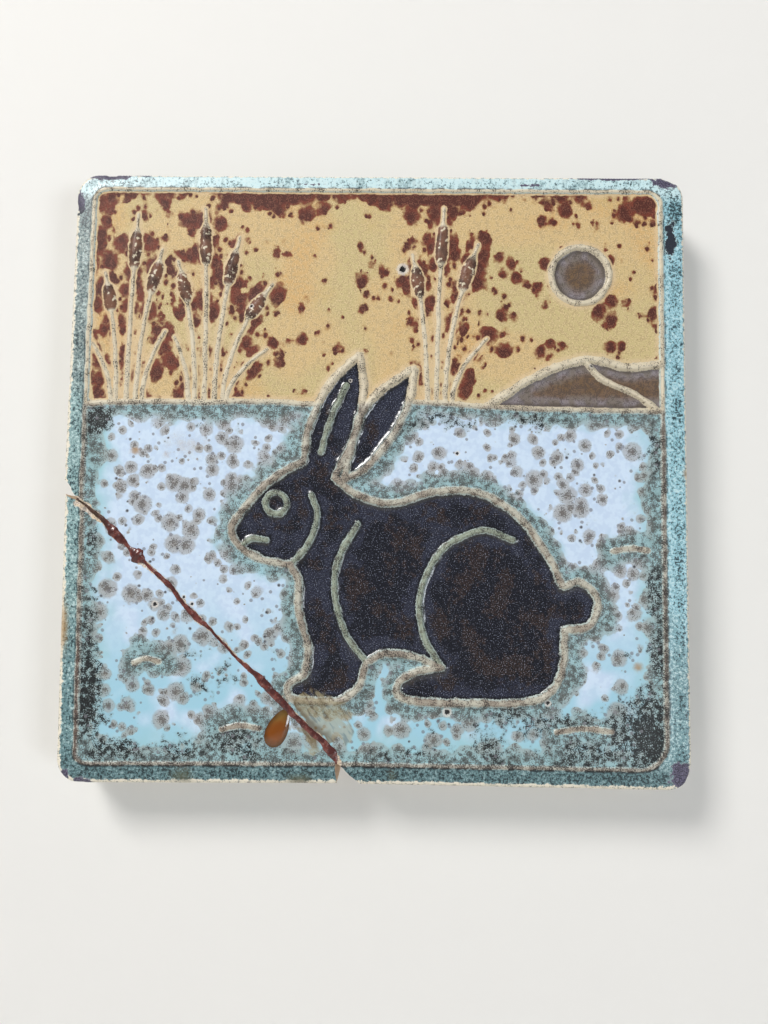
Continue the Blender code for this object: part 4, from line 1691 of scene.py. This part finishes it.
@dataclass(frozen=True)
class FieldGlaze(Glaze):
    """The ground: a pale blue glaze with taupe spots, which turns aqua and darkly mottled along lines."""

    NAME = "field_glaze"
    MASKS = ("line_gap", "rim_side", "shade")

    pale: Colour = linear(199, 218, 240)
    bright: Colour = linear(209, 227, 246)
    aqua: Colour = linear(160, 204, 214)
    sea: Colour = linear(162, 207, 225)
    spot: Colour = linear(165, 160, 152)
    spot_rim: Colour = linear(140, 134, 126)
    haze: Colour = linear(154, 182, 184)
    haze_deep: Colour = linear(116, 134, 128)
    wash: Colour = linear(100, 113, 108)
    soot: Colour = linear(18, 20, 20)
    dark: Colour = linear(18, 22, 24)
    fleck: Colour = linear(196, 218, 222)
    grain_brown: Colour = linear(72, 64, 58)
    core_brown: Colour = linear(134, 120, 104)
    dot: Colour = linear(120, 120, 126)
    # Spacing, radius, fuzz, and the size of the patches that have spots
    layers: tuple = ((7.6, 2.25, 0.22, 15.0), (5.4, 1.6, 0.18, 11.0), (3.8, 1.05, 0.13, 8.0))

    def build(self, given: Parts) -> Feeds:
        """Lays the tints, three sizes of spots that merge along lines, the mottling and the dots.

        Args:
            given: The glaze's inputs.

        Returns:
            Its skin.
        """
        place, wide, middle, small = given.place, given.wide, given.middle, given.small
        uneven = wide * 9.0 + middle * 4.0
        up = place.split()[1]
        rim = (given.rim_side + uneven).ease(9.5, 2.0)
        band = (given.line_gap + uneven * 0.6).ease(4.6, 1.0)
        coat = Coat((middle + small).ease(-0.2, 0.2).mix(self.pale, self.bright))
        coat.lay(self.sea, up.ease(-22.0, -56.0) * wide.ease(-0.24, 0.02))
        coat.lay(self.aqua, most(rim, band * 0.9))
        sizes = []
        for k, (spacing, radius, fuzz, drift) in enumerate(self.layers):
            spread = place.moved((23.0 * k + 11, 47.0 * k, 0.0)).cloud(drift, 0.0)
            size = spread.ease(0.37 + 0.04 * k, 0.585, 0.10 * radius, radius)
            sizes.append(spots(given, spacing, band.blend(size, 0.70 * spacing), fuzz))
        disc, core, ringed, chance = strongest(sizes, "disc", "core", "ring", "chance")
        haze = (middle + small * 0.6).ease(-0.22, 0.22).mix(self.haze, self.haze_deep)
        coat.lay(band.mix(self.spot, haze), disc * chance.blend(0.5, 0.72))
        coat.lay(self.spot_rim, ringed * (1 - band) * 0.26)
        coat.lay(self.core_brown, core.ease(0.3, 1.0) * (1 - band) * 0.40)
        cover = given.shade + wide * 1.1 + middle * 0.9 + small * 0.4
        soot = (cover + small * 1.1 + given.grit * 0.8).ease(0.92, 1.24)
        cover = cover.ease(0.34, 0.80)
        brown = grains(given.specks, small, 0.08 + core * 0.72)
        coat.lay(self.grain_brown, brown * disc.ease(0.1, 0.5) * 0.72)
        coat.lay(self.wash, cover * 0.56)
        coat.lay(self.soot, soot * 0.93)
        flecks = grains(given.pits, given.specks, soot.blend(0.40, 0.16))
        coat.lay(self.fleck, flecks * cover * 0.62)
        amount = band * 0.20 + cover * 0.46
        dark = grains(given.grit, small, amount) * amount.ease(0.05, 0.25)
        coat.lay(self.dark, dark * cover.blend(0.66, 0.94))
        dots = spots(given, 3.1, place.cloud(9.0, 0.0).ease(0.40, 0.62, 0.02, 0.42), 0.06)
        coat.lay(self.dot, dots.disc * 0.72)
        coat.lay(self.dark, dots.core * dots.chance.ease(0.86, 0.88))
        return skin(coat.colour, 0.34 + disc * 0.10, small * 0.45 + given.grit * 0.30)


@dataclass(frozen=True)
class BorderGlaze(Glaze):
    """The land outside the rim line: aqua glaze with dark teal grain, paler at the top, worn at the edge."""

    NAME = "border_glaze"
    MASKS = ("edge_gap", "line_gap")

    top: Colour = linear(204, 232, 236)
    right: Colour = linear(154, 200, 212)
    left: Colour = linear(146, 176, 176)
    slate: Colour = linear(136, 148, 144)
    low: Colour = linear(106, 140, 144)
    foot: Colour = linear(102, 134, 138)
    teal: Colour = linear(84, 118, 124)
    teal_deep: Colour = linear(50, 72, 76)
    dark: Colour = linear(22, 34, 40)
    light: Colour = linear(214, 234, 234)
    drip: Colour = linear(168, 196, 200)
    worn: Colour = linear(236, 228, 210)

    def build(self, given: Parts) -> Feeds:
        """Lays each side's tint, the dark band in the middle of the land, painted shade along the foot of the
        rim line and the pale worn edge.

        Args:
            given: The glaze's inputs.

        Returns:
            Its skin.
        """
        edge, wide, middle, small, grit = given.edge_gap, given.wide, given.middle, given.small, given.grit
        across, up, _ = given.place.split()
        top, foot, left = up.ease(66.0, 69.5), up.ease(-66.0, -69.5), across.ease(-66.0, -69.5)
        drift = up + wide * 40.0
        coat = Coat(drift.ease(8.0, 30.0).mix(self.left, self.slate))
        coat.lay(self.right, across.ease(-2.0, 2.0))
        coat.lay(self.low, drift.ease(-22.0, -52.0) * 0.8)
        run = given.place.moved(scale=(1.0, 0.3, 1.0)).cloud(1.3)
        coat.lay((run + wide).ease(0.50, 0.74).mix(self.top, self.drip), top)
        coat.lay(self.foot, foot)
        shifted = edge + small * 2.2
        band = shifted.ease(0.6, 1.6) * shifted.ease(4.6, 3.2)
        depth = 0.50 + foot * 0.12 + wide * 1.1 + middle * 1.2 + small * 0.5
        crust = given.place.cloud(0.7) + grit * 0.8 - 0.5
        corner = (abs(across) + up).ease(126.0, 138.0)
        level = crust + depth.ease(0.05, 0.95) * band * 0.26 - top * 0.13 + corner * 0.16 - 0.12
        coat.lay(foot.mix(self.teal, self.teal_deep), level.ease(-0.08, 0.18, 0.0, 0.74))
        coat.lay(self.light, level.ease(-0.08, -0.34, 0.0, 0.66) * foot.blend(1.0, 0.5))
        coat.lay(self.dark, level.ease(0.14, 0.26, 0.0, 0.86))
        # Painted shade: dark dashes along the foot of the rim line
        by_line = (given.line_gap + grit * 0.8).ease(0.42, 0.18)
        dashes = (middle + small).ease(-0.14, 0.04)
        coat.lay(self.dark, by_line * dashes * top.ease(0.0, 1.0, 0.8, 0.45))
        worn = (edge - most(left, foot) * 0.35 + small + grit * 0.6).ease(0.72, 0.50)
        coat.lay(self.worn, worn)
        nicks = grains(given.pits, small, 0.26) * edge.ease(1.0, 0.4)
        coat.lay(self.dark, nicks * 0.7)
        return skin(coat.colour, 0.36 + worn * 0.25, small * 0.5 - grit * 0.35)


@dataclass(frozen=True)
class HareGlaze(Glaze):
    """The hare: a glossy blue-black glaze with brown breaks and fine pale stars."""

    NAME = "hare_glaze"
    MASKS = ("line_gap",)
    gloss = 0.45

    night: Colour = linear(22, 24, 37)
    slate: Colour = linear(50, 53, 70)
    brown: Colour = linear(60, 42, 34)
    star: Colour = linear(140, 146, 162)
    black: Colour = linear(8, 9, 15)

    def build(self, given: Parts) -> Feeds:
        """Lays slate along the lines, black and brown clouds between them, the stars, and painted shade in
        the crease at the foot of each line.

        Args:
            given: The glaze's inputs.

        Returns:
            Its skin.
        """
        gap, small, grit = given.line_gap, given.small, given.grit
        cloudy = given.wide * 1.6 + given.middle + small * 0.6
        slate = (gap + cloudy * 6.0).ease(3.4, 0.8)
        coat = Coat(slate.mix(self.night, self.slate))
        streak = given.place.moved((9.0, 4.0, 0.0), (1.0, 0.7, 1.0)).cloud(6.0) + small * 0.5
        brown = streak.ease(0.48, 0.64) * (1 - slate)
        coat.lay(self.brown, brown * given.specks.ease(-0.15, 0.15, 0.35, 1.0))
        fine = given.place.cloud(0.26, 0.0) + grit * 0.4 + small * 0.2 - 0.5
        coat.lay(self.black, fine.ease(0.14, -0.20) * slate.blend(0.80, 0.62))
        coat.lay(self.star, fine.ease(0.20, 0.34, 0.0, 0.6))
        # Painted shade in the crease along the foot of each line
        coat.lay(self.black, (gap + small * 1.2).ease(0.9, 0.1) * 0.8)
        return skin(coat.colour, 0.12 + brown * 0.12 + small * 0.08, small + grit * 0.15)


@dataclass(frozen=True)
class GreyGlaze(Glaze):
    """The hill and the sun: a grey glaze that turns brown in the middle of each cell."""

    NAME = "grey_glaze"
    MASKS = ("cell_side",)
    gloss = 0.2

    grey: Colour = linear(124, 114, 106)
    lilac: Colour = linear(142, 134, 138)
    brown: Colour = linear(112, 84, 52)
    # Painted shade for the crease along each cell's rim
    shade: Colour = linear(80, 70, 62)
    grit: Colour = linear(66, 58, 54)

    def build(self, given: Parts) -> Feeds:
        """Lays grey at the edges, brown grain in the middle and painted shade along the rim of each cell.

        Args:
            given: The glaze's inputs.

        Returns:
            Its skin.
        """
        depth, small = given.cell_side, given.small
        uneven = given.middle * 3.0 + small
        coat = Coat(uneven.ease(-0.4, 0.5).mix(self.grey, self.lilac))
        middle = (depth + uneven).ease(2.2, 4.4)
        coat.lay(self.brown, middle * 0.85)
        coat.lay(self.grit, grains(given.grit, small, 0.36 + middle * 0.2) * 0.6)
        # Painted shade in the crease where the cell meets its raised outline
        coat.lay(self.shade, (depth + uneven * 0.3).ease(1.9, 1.0) * 0.7)
        return skin(coat.colour, 0.30 + middle * 0.1, small * 0.6)


@dataclass(frozen=True)
class LineSlip(Glaze):
    """The raised lines: cream slip with brown pits, sage within the hare and dark along the rim line."""

    NAME = "line_slip"
    MASKS = ("sage", "rim_line", "head", "sky_side", "rim_side", "crown")

    cream: Colour = linear(198, 194, 178)
    tan: Colour = linear(168, 157, 142)
    sand: Colour = linear(226, 213, 186)
    rim: Colour = linear(190, 186, 174)
    sage: Colour = linear(160, 170, 152)
    pit: Colour = linear(78, 60, 50)
    hole: Colour = linear(36, 32, 32)
    core: Colour = linear(66, 58, 58)
    rusty: Colour = linear(98, 54, 46)
    frost: Colour = linear(206, 222, 218)
    seed: Colour = linear(112, 64, 46)
    seed_deep: Colour = linear(72, 42, 38)

    def build(self, given: Parts) -> Feeds:
        """Lays the cream, the tints of each kind of line, a dark line along the rim line's outer foot that is
        partly painted shadow, and the pits.

        Args:
            given: The glaze's inputs.

        Returns:
            Its skin.
        """
        wide, middle, small, crown, sage = given.wide, given.middle, given.small, given.crown, given.sage
        ground = given.sky_side.ease(0.8, -0.8)
        coat = Coat((wide + middle).ease(-0.16, 0.18).mix(self.cream, self.tan))
        coat.lay(self.sand, (1 - ground) * 0.8)
        coat.lay(self.rim, given.rim_line * ground * 0.7)
        coat.lay(self.sage, sage)
        foot = (crown + small * 0.6).ease(0.40, 0.16) * ground
        coat.lay(self.frost, most(foot, given.rim_line * crown.ease(0.50, 0.32)) * 0.75)
        run = (wide + middle * 0.6).ease(-0.16, 0.06)
        across, up, _ = given.place.split()
        nook = across.ease(-60.0, -66.0) * up.ease(-32.0, -44.0)
        level = abs(up).ease(66.0, 68.0)
        patchy = run * ground.blend(0.25, 1.0) * across.ease(-60.0, 40.0, 0.3, 0.72)
        core = (crown + small + given.grit).ease(0.50, 0.70) * given.rim_line
        core = core * most(patchy, nook) * level.blend(1.0, 0.3)
        coat.lay(nook.mix(self.core, self.rusty), core * 0.64)
        # Partly painted shadow, partly crackle: a dark line along the outer foot of the rim line, near the
        # top and the foot of the tile
        outer = (given.rim_side + small * 0.4).ease(-0.10, -0.30)
        under = outer * given.rim_line * level * (middle + small).ease(-0.08, 0.04)
        coat.lay(self.hole, under * 0.9)
        rimmed = given.rim_line * ground.blend(0.02, 0.22)
        pits = grains(given.pits, small, ground.blend(0.06, 0.24) + rimmed + core * 0.2)
        coat.lay(self.pit, pits * 0.66)
        holes = grains(given.specks, middle, ground.blend(0.02, 0.12) + rimmed)
        coat.lay(self.hole, holes * 0.85)
        brown = given.head.ease(0.25, 0.7) * small.ease(-0.20, -0.12)
        coat.lay(middle.ease(-0.2, 0.2).mix(self.seed, self.seed_deep), brown * 0.9)
        height = pits * -1.0 - holes * 1.6 + small * 1.2 + given.grit * sage.blend(0.8, 2.4)
        return skin(coat.colour, 0.30 - sage * 0.18 + pits * 0.25, height)


@dataclass(frozen=True)
class Wear(Glaze):
    """Stains, places where the glaze never held, pinholes and the chipped clay along the break."""

    NAME = "wear"
    MASKS = ("rust", "bare", "pit", "spall", "film", "break_gap")

    stain: Colour = linear(166, 126, 66)
    moss: Colour = linear(84, 84, 60)
    bare: Colour = linear(54, 50, 66)
    bare_light: Colour = linear(112, 106, 130)
    night: Colour = linear(22, 32, 42)
    flake: Colour = linear(186, 206, 206)
    hole: Colour = linear(26, 24, 26)
    hole_rim: Colour = linear(222, 216, 208)
    clay: Colour = linear(220, 200, 172)
    chalk: Colour = linear(236, 226, 214)
    dirt: Colour = linear(120, 88, 66)
    film: Colour = linear(172, 160, 126)
    film_deep: Colour = linear(110, 90, 56)
    wipe: float = math.radians(-38)

    @property
    def INPUTS(self) -> dict[str, str]:
        """A glaze's inputs, and the skin that lies under the wear."""
        return super().INPUTS | {"under_" + name: kind for name, kind in SKIN.items()}

    def build(self, given: Parts) -> Feeds:
        """Lays the film of old glue, the stains, the bare patches, the pinholes and the chips.

        Args:
            given: The glaze's inputs.

        Returns:
            Its skin.
        """
        place, grit, small, middle = given.place, given.grit, given.small, given.middle
        coat = Coat(given.under_colour)
        up = place.split()[1]
        inputs = {"Vector": place, "Angle": self.wipe}
        turned = place.graph.put("VectorRotate", inputs, rotation_type="Z_AXIS")
        wiped = turned.moved(scale=(1.0, 0.3, 1.0)).cloud(1.2, 2.0) - 0.5
        film = (given.film + middle + wiped * 0.5).ease(0.40, 0.62)
        near = (given.break_gap + middle * 5.0).ease(4.2, 1.2)
        tint = most(near, wiped.ease(0.02, 0.2)).mix(self.film, self.film_deep)
        coat.lay(tint, film * near.blend(0.60, 0.85))
        stained = (given.rust + middle * 0.8 + grit * 0.6).ease(0.1, 0.9)
        coat.lay(up.ease(-69.0, -71.0).mix(self.stain, self.moss), stained * given.rust * 0.7)
        patch = small * 0.9 + grit * 0.5 + middle * 0.7
        patch = given.bare + patch * given.bare.ease(0.02, 0.3)
        coat.lay(self.flake, patch.ease(0.34, 0.42) * 0.5)
        bare = patch.ease(0.42, 0.50)
        bared = Coat(grit.ease(-0.1, 0.15).mix(self.bare, self.bare_light))
        bared.lay(self.night, abs(up).ease(66.0, 63.0, 0.0, 0.9))
        coat.lay(bared.colour, bare)
        hole = given.pit + grit
        coat.lay(self.hole_rim, hole.ease(2.0, 1.3) * 0.7)
        coat.lay(self.hole, hole.ease(1.0, 0.75))
        clay = Coat((middle + small).ease(-0.15, 0.25).mix(self.clay, self.chalk))
        clay.lay(self.dirt, grains(given.pits, small, 0.36) * 0.55)
        chipped = (given.spall + grit * 0.8).ease(0.4, 0.6)
        coat.lay(clay.colour, chipped)
        rough = chipped.blend(bare.blend(film.blend(given.under_roughness, 0.24), 0.55), 0.75)
        height = given.under_height + film * wiped * 6.0 + chipped * grit * 2.0 - bare
        return skin(coat.colour, rough, height)


@dataclass(frozen=True)
class BareClay(Effect):
    """Fired clay without glaze: buff, with dark specks and a rough skin."""

    NAME = "bare_clay"
    INPUTS = {"place": "Vector", "dirt": "Float"}
    OUTPUTS = SKIN

    buff: Colour = linear(224, 207, 182)
    pink: Colour = linear(214, 188, 162)
    dirt: Colour = linear(152, 130, 108)
    speck: Colour = linear(104, 78, 62)

    def build(self, given: Parts) -> Feeds:
        """Lays the buff clay, its dirt and its specks.

        Args:
            given: The group's inputs.

        Returns:
            Its skin.
        """
        cloud = given.place.cloud(6.0, 4.0, "3D")
        coat = Coat(cloud.ease(0.38, 0.64).mix(self.buff, self.pink))
        grime = given.place.moved((5.0, 5.0, 0.0)).cloud(22.0, 6.0, "3D").ease(0.40, 0.80)
        coat.lay(self.dirt, grime * given.dirt * 0.55)
        rough = given.place.cloud(0.5, 3.0, "3D") - 0.5
        specks = grains(rough, (cloud - 0.5) * 0.3, 0.12)
        coat.lay(self.speck, specks * 0.45)
        return skin(coat.colour, 0.78 + cloud * 0.1, rough * 1.4 - specks * 0.3)


# Materials


def new_material(name: str) -> tuple[bpy.types.Material, Graph, bpy.types.Node]:
    """Makes a material with a Principled shader.

    Args:
        name: The material's name.

    Returns:
        The material, its tree and its shader.
    """
    made = bpy.data.materials.new(name)
    made.use_nodes = True
    return made, Graph(made.node_tree), made.node_tree.nodes["Principled BSDF"]


@dataclass(frozen=True)
class Finish:
    """The material of one kind of surface, with bumps of a depth in millimetres."""

    name: str
    bump: float

    def skin(self, graph: Graph) -> Feeds:
        """Adds the finish's own nodes.

        Args:
            graph: The material's tree.

        Returns:
            A skin, and what feeds further sockets of the shader, by name.
        """
        raise NotImplementedError

    def build(self) -> bpy.types.Material:
        """Builds the material.

        Returns:
            The material.
        """
        made, graph, shader = new_material(self.name)
        feeds = self.skin(graph)
        bumps = {"Height": feeds["height"], "Distance": self.bump * METRES, "Strength": 1.0}
        feeds["height"] = graph.put("Bump", bumps)
        for name, value in feeds.items():
            graph.feed(shader.inputs[SHADER_SOCKETS.get(name, name)], value)
        return made


@dataclass(frozen=True)
class FaceFinish(Finish):
    """The glazed face in one region: the region's glaze, the slip of the lines over it, then the wear."""

    glaze: Glaze

    def lay(self, graph: Graph, layer: Glaze, inputs: Feeds) -> dict[str, Wire]:
        """Places a glaze's group, with its masks, and gives its skin."""
        masks = {name: graph.mask(name) for name in layer.MASKS}
        return vars(layer.place(graph, **inputs, **masks))

    def skin(self, graph: Graph) -> Feeds:
        """Lays the glaze, the slip and the wear over each other.

        Args:
            graph: The material's tree.

        Returns:
            The skin, and the clear coat where the glaze has one.
        """
        across, _, up = graph.place().split()
        place = graph.put("CombineXYZ", {"X": across, "Y": up})
        clouds = vars(Clouds().place(graph, place=place)) | {"place": place}
        glaze, slip = (self.lay(graph, layer, clouds) for layer in (self.glaze, LineSlip()))
        line = (graph.mask("rib") + (clouds["grit"] * 0.7 + clouds["small"] * 0.7)).ease(0.46, 0.66)
        under = {"under_colour": line.mix(glaze["colour"], slip["colour"])}
        for name in ("roughness", "height"):
            under["under_" + name] = line.blend(glaze[name], slip[name])
        feeds = self.lay(graph, Wear(), clouds | under)
        if self.glaze.gloss:
            feeds["Coat Weight"] = (1 - line) * self.glaze.gloss
        return feeds | {"Coat Roughness": 0.12, "Specular IOR Level": self.glaze.shine}


@dataclass(frozen=True)
class FlankFinish(Finish):
    """The tile's sides: the border's glaze, which ran down and stopped short of the back."""

    aqua: Colour = linear(162, 190, 190)
    pale: Colour = linear(212, 224, 216)
    grain: Colour = linear(78, 92, 92)
    worn: Colour = linear(234, 226, 208)
    stop: float = 4.2

    def skin(self, graph: Graph) -> Feeds:
        """Lays the streaked glaze over bare clay, with a thick lip where it stopped.

        Args:
            graph: The material's tree.

        Returns:
            The skin.
        """
        place = graph.place()
        depth = place.split()[1] * -1.0
        run = place.moved(scale=(1.0, 0.22, 1.0)).cloud(3.4, 2.0, "3D") - 0.5
        grit = place.cloud(0.36, 1.0, "3D") - 0.5
        coat = Coat(place.cloud(5.0, 2.0, "3D").ease(0.4, 0.62).mix(self.aqua, self.pale))
        coat.lay(self.grain, grains(grit, run, 0.26) * 0.5)
        coat.lay(self.worn, (depth + run * 4.0 + grit * 2.0).ease(11.4, 12.4))
        clay = BareClay().place(graph, place=place, dirt=1.0)
        reach = depth + run * 5.0
        glazed = reach.ease(self.stop, self.stop + 0.35)
        lip = glazed * reach.ease(self.stop + 1.2, self.stop + 0.4)
        coat.lay(self.grain, lip * 0.5)
        height = glazed.blend(clay.height * 0.6, 0.9 + lip * 0.8)
        return skin(glazed.mix(clay.colour, coat.colour), glazed.blend(clay.roughness, 0.34), height)


@dataclass(frozen=True)
class ClayFinish(Finish):
    """Bare clay on the back or in the break."""

    dirt: float

    def skin(self, graph: Graph) -> Feeds:
        """The bare clay's skin."""
        return vars(BareClay().place(graph, place=graph.place(), dirt=self.dirt))


@dataclass(frozen=True)
class GlueFinish(Finish):
    """Old red-brown glue: glossy, darker where it is thick, dusty in places."""

    deep: Colour = linear(76, 34, 31)
    thin: Colour = linear(120, 62, 54)
    dust: Colour = linear(146, 106, 94)
    # Painted shade of the open crack near the tile's left edge
    dirty: Colour = linear(62, 50, 36)
    roughness: float = 0.2

    def skin(self, graph: Graph) -> Feeds:
        """Lays the cloudy red-brown, the dust and the painted shade of the open crack at the tile's left
        edge.

        Args:
            graph: The material's tree.

        Returns:
            The skin and its clear coat.
        """
        place = graph.place()
        cloud = place.cloud(1.6, 3.0, "3D")
        coat = Coat(cloud.ease(0.40, 0.66).mix(self.deep, self.thin))
        dust = grains(place.cloud(0.6, 1.0, "3D") - 0.5, cloud - 0.5, 0.12)
        coat.lay(self.dust, dust * 0.3)
        # Painted shade: the seam is painted dark towards the tile's left edge, where the crack lies open
        coat.lay(self.dirty, place.split()[0].ease(-62.0, -67.0, 0.0, 0.8))
        height = place.cloud(0.7, 3.0, "3D") + dust * 0.4
        return skin(coat.colour, self.roughness + dust * 0.3 + cloud * 0.1, height) | {"Coat Weight": 0.4}


@dataclass(frozen=True)
class AmberFinish(Finish):
    """Clear glue that aged to amber, deeper in colour towards its lower end."""

    light: Colour = linear(128, 102, 44)
    deep: Colour = linear(128, 68, 6)
    edge: Colour = linear(80, 50, 10)

    def skin(self, graph: Graph) -> Feeds:
        """Lays the amber and its darker rim.

        Args:
            graph: The material's tree.

        Returns:
            The skin and its clear coat.
        """
        place = graph.place()
        uneven = (place.cloud(1.8, 1.0, "3D") - 0.5) * 3.0
        coat = Coat((place.split()[2] + uneven).ease(-61.0, -56.5).mix(self.deep, self.light))
        coat.lay(self.edge, (graph.mask("rim") + uneven * 0.10).ease(0.45, 1.0))
        rough = 0.08 + place.cloud(2.0, 1.0, "3D") * 0.08
        return skin(coat.colour, rough, place.cloud(1.2, 1.0, "3D")) | {"Coat Weight": 0.5}


# Wall, floor, light and camera


@dataclass(frozen=True)
class Lamp:
    """A square soft light: its place and size in metres, its power in watts and its colour."""

    name: str
    place: Triple
    size: float
    power: float
    colour: Triple

    def build(self) -> None:
        """Adds the light, which shines at the tile."""
        data = bpy.data.lights.new(self.name, "AREA")
        data.size, data.energy, data.color = self.size, self.power, self.colour
        made = in_scene(self.name, data)
        made.location = self.place
        made.rotation_euler = (-Vector(self.place)).to_track_quat("-Z", "Y").to_euler()


@dataclass
class Studio:
    """A plain pale wall close behind the tile, a plain floor below it, soft light and the camera.

    The wall, floor and lamps are in metres. The camera's place is in millimetres from the middle of the face.
    """

    form: TileForm
    wall_gap: float = 0.0006
    wall_reach: float = 1.2
    floor_drop: float = 0.45
    floor_reach: float = 4.0
    paper_colour: Colour = linear(238, 236, 232)
    paper_roughness: float = 0.9
    room_colour: Colour = (0.93, 0.95, 1.0, 1.0)
    room_strength: float = 0.27
    camera_place: Triple = (6.02, -23.77, 182.92)
    camera_right: Triple = (0.99973, 0.01733, 0.0153)
    camera_up: Triple = (-0.01394, -0.07616, 0.997)
    lens: float = 27.0
    sensor: float = 36.0
    camera_range: tuple[float, float] = (0.005, 20.0)
    short_ray: float = 0.006

    LAMPS: ClassVar[tuple[Lamp, ...]] = (
        Lamp("window", (-0.55, -0.75, 0.70), 0.36, 10.0, (1.0, 0.985, 0.96)),
        Lamp("fill", (0.75, -0.9, -0.2), 0.3, 3.0, (0.86, 0.93, 1.0)),
        Lamp("rear", (0.8, 0.9, 0.9), 0.5, 7.0, (1.0, 1.0, 1.0)),
    )

    def sheet(self, name: str, corners: list[Triple], finish: bpy.types.Material) -> None:
        """Makes a flat rectangle of the stage.

        Args:
            name: The sheet's name.
            corners: Its corners in metres.
            finish: Its material.
        """
        mesh = bpy.data.meshes.new(name)
        mesh.from_pydata(corners, [], [(0, 1, 2, 3)])
        mesh.materials.append(finish)
        in_scene(name, mesh)

    def paper(self, name: str, one_sided: bool) -> bpy.types.Material:
        """Makes a plain matt surface.

        Args:
            name: The material's name.
            one_sided: Whether it is unseen from behind, and lets light reach what is close to it.

        Returns:
            The material.
        """
        made, graph, shader = new_material(name)
        shader.inputs["Base Color"].default_value = self.paper_colour
        shader.inputs["Roughness"].default_value = self.paper_roughness
        if one_sided:
            short = graph.math("LESS_THAN", graph.put("LightPath", out="Ray Length"), self.short_ray)
            behind = graph.put("NewGeometry", out="Backfacing")
            clear = graph.put("BsdfTransparent")
            joint = graph.put("MixShader", {0: most(short, behind), 1: shader.outputs[0], 2: clear})
            graph.feed(made.node_tree.nodes["Material Output"].inputs["Surface"], joint)
        return made

    def build(self) -> None:
        """Builds the stage, the lights and the camera."""
        near, far, drop, gap = self.wall_reach, self.floor_reach, self.floor_drop, self.wall_gap
        wall = [(-near, gap, -drop), (near, gap, -drop), (near, gap, near), (-near, gap, near)]
        floor = [(-far, -far, -drop), (far, -far, -drop), (far, far, -drop), (-far, far, -drop)]
        self.sheet("wall", wall, self.paper("wall_paper", True))
        self.sheet("floor", floor, self.paper("floor_paper", False))
        for lamp in self.LAMPS:
            lamp.build()
        world = bpy.data.worlds.new("room")
        world.use_nodes = True
        background = world.node_tree.nodes["Background"]
        background.inputs["Color"].default_value = self.room_colour
        background.inputs["Strength"].default_value = self.room_strength
        bpy.context.scene.world = world
        self.camera()

    def camera(self) -> None:
        """Places the camera where the photograph was taken from."""
        data = bpy.data.cameras.new("camera")
        data.lens, data.sensor_width, data.sensor_fit = self.lens, self.sensor, "AUTO"
        data.clip_start, data.clip_end = self.camera_range
        across, up, out = self.camera_place
        right, above = Vector(self.camera_right), Vector(self.camera_up)
        axes = Matrix((right, above, right.cross(above))).transposed()
        place = Vector((across, -self.form.thickness - out, up)) * METRES
        made = in_scene("camera", data)
        made.matrix_world = Matrix.Translation(place) @ axes.to_4x4()
        bpy.context.scene.camera = made


def dress(piece: bpy.types.Object, node: str | None, slot: str, *finishes: bpy.types.Material) -> None:
    """Gives a piece its materials and puts it on the frame.

    Args:
        piece: The piece.
        node: The packed node that it stands for, if there is one.
        slot: The record's material slot; not used.
        finishes: Its materials, in the order of its slots.
    """
    for finish in finishes:
        piece.data.materials.append(finish)
    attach(piece, "root")
    if node:
        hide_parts(node)
    LOG.info("%s: %d points, %d faces", piece.name, len(piece.data.vertices), len(piece.data.polygons))


def main() -> None:
    """Builds the pieces in order, then the studio."""
    logging.basicConfig(level=logging.INFO, format="%(message)s")
    bpy.context.scene.view_settings.view_transform = "Standard"
    form = TileForm.from_frame(Picture.outline_rise)
    relief = Relief(form, Picture(form), Break(form))
    glazes = (BorderGlaze(), FieldGlaze(), OchreGlaze(), GreyGlaze(), HareGlaze())
    finishes = [
        *[FaceFinish(glaze.NAME, 0.05, glaze) for glaze in glazes],
        FlankFinish("glazed_flank", 0.25),
        ClayFinish("broken_clay", 0.35, dirt=0.4),
        ClayFinish("back_clay", 0.22, dirt=1.0),
    ]
    made = [finish.build() for finish in finishes]
    body = FiredPiece("glazed_body", "tile_body", Side.BODY, relief)
    corner = FiredPiece("glazed_corner", "tile_corner", Side.CORNER, relief)
    for piece in (body, corner):
        dress(piece.build(), piece.node, "glazed_clay", *made)
    seam = GlueSeam(relief)
    dress(seam.build(), seam.node, "aged_glue", GlueFinish("aged_glue", 0.10).build())
    dress(AmberDrop(form).build(), None, "aged_glue", AmberFinish("amber_glue", 0.05).build())
    Studio(form).build()


if __name__ == "__main__":
    main()
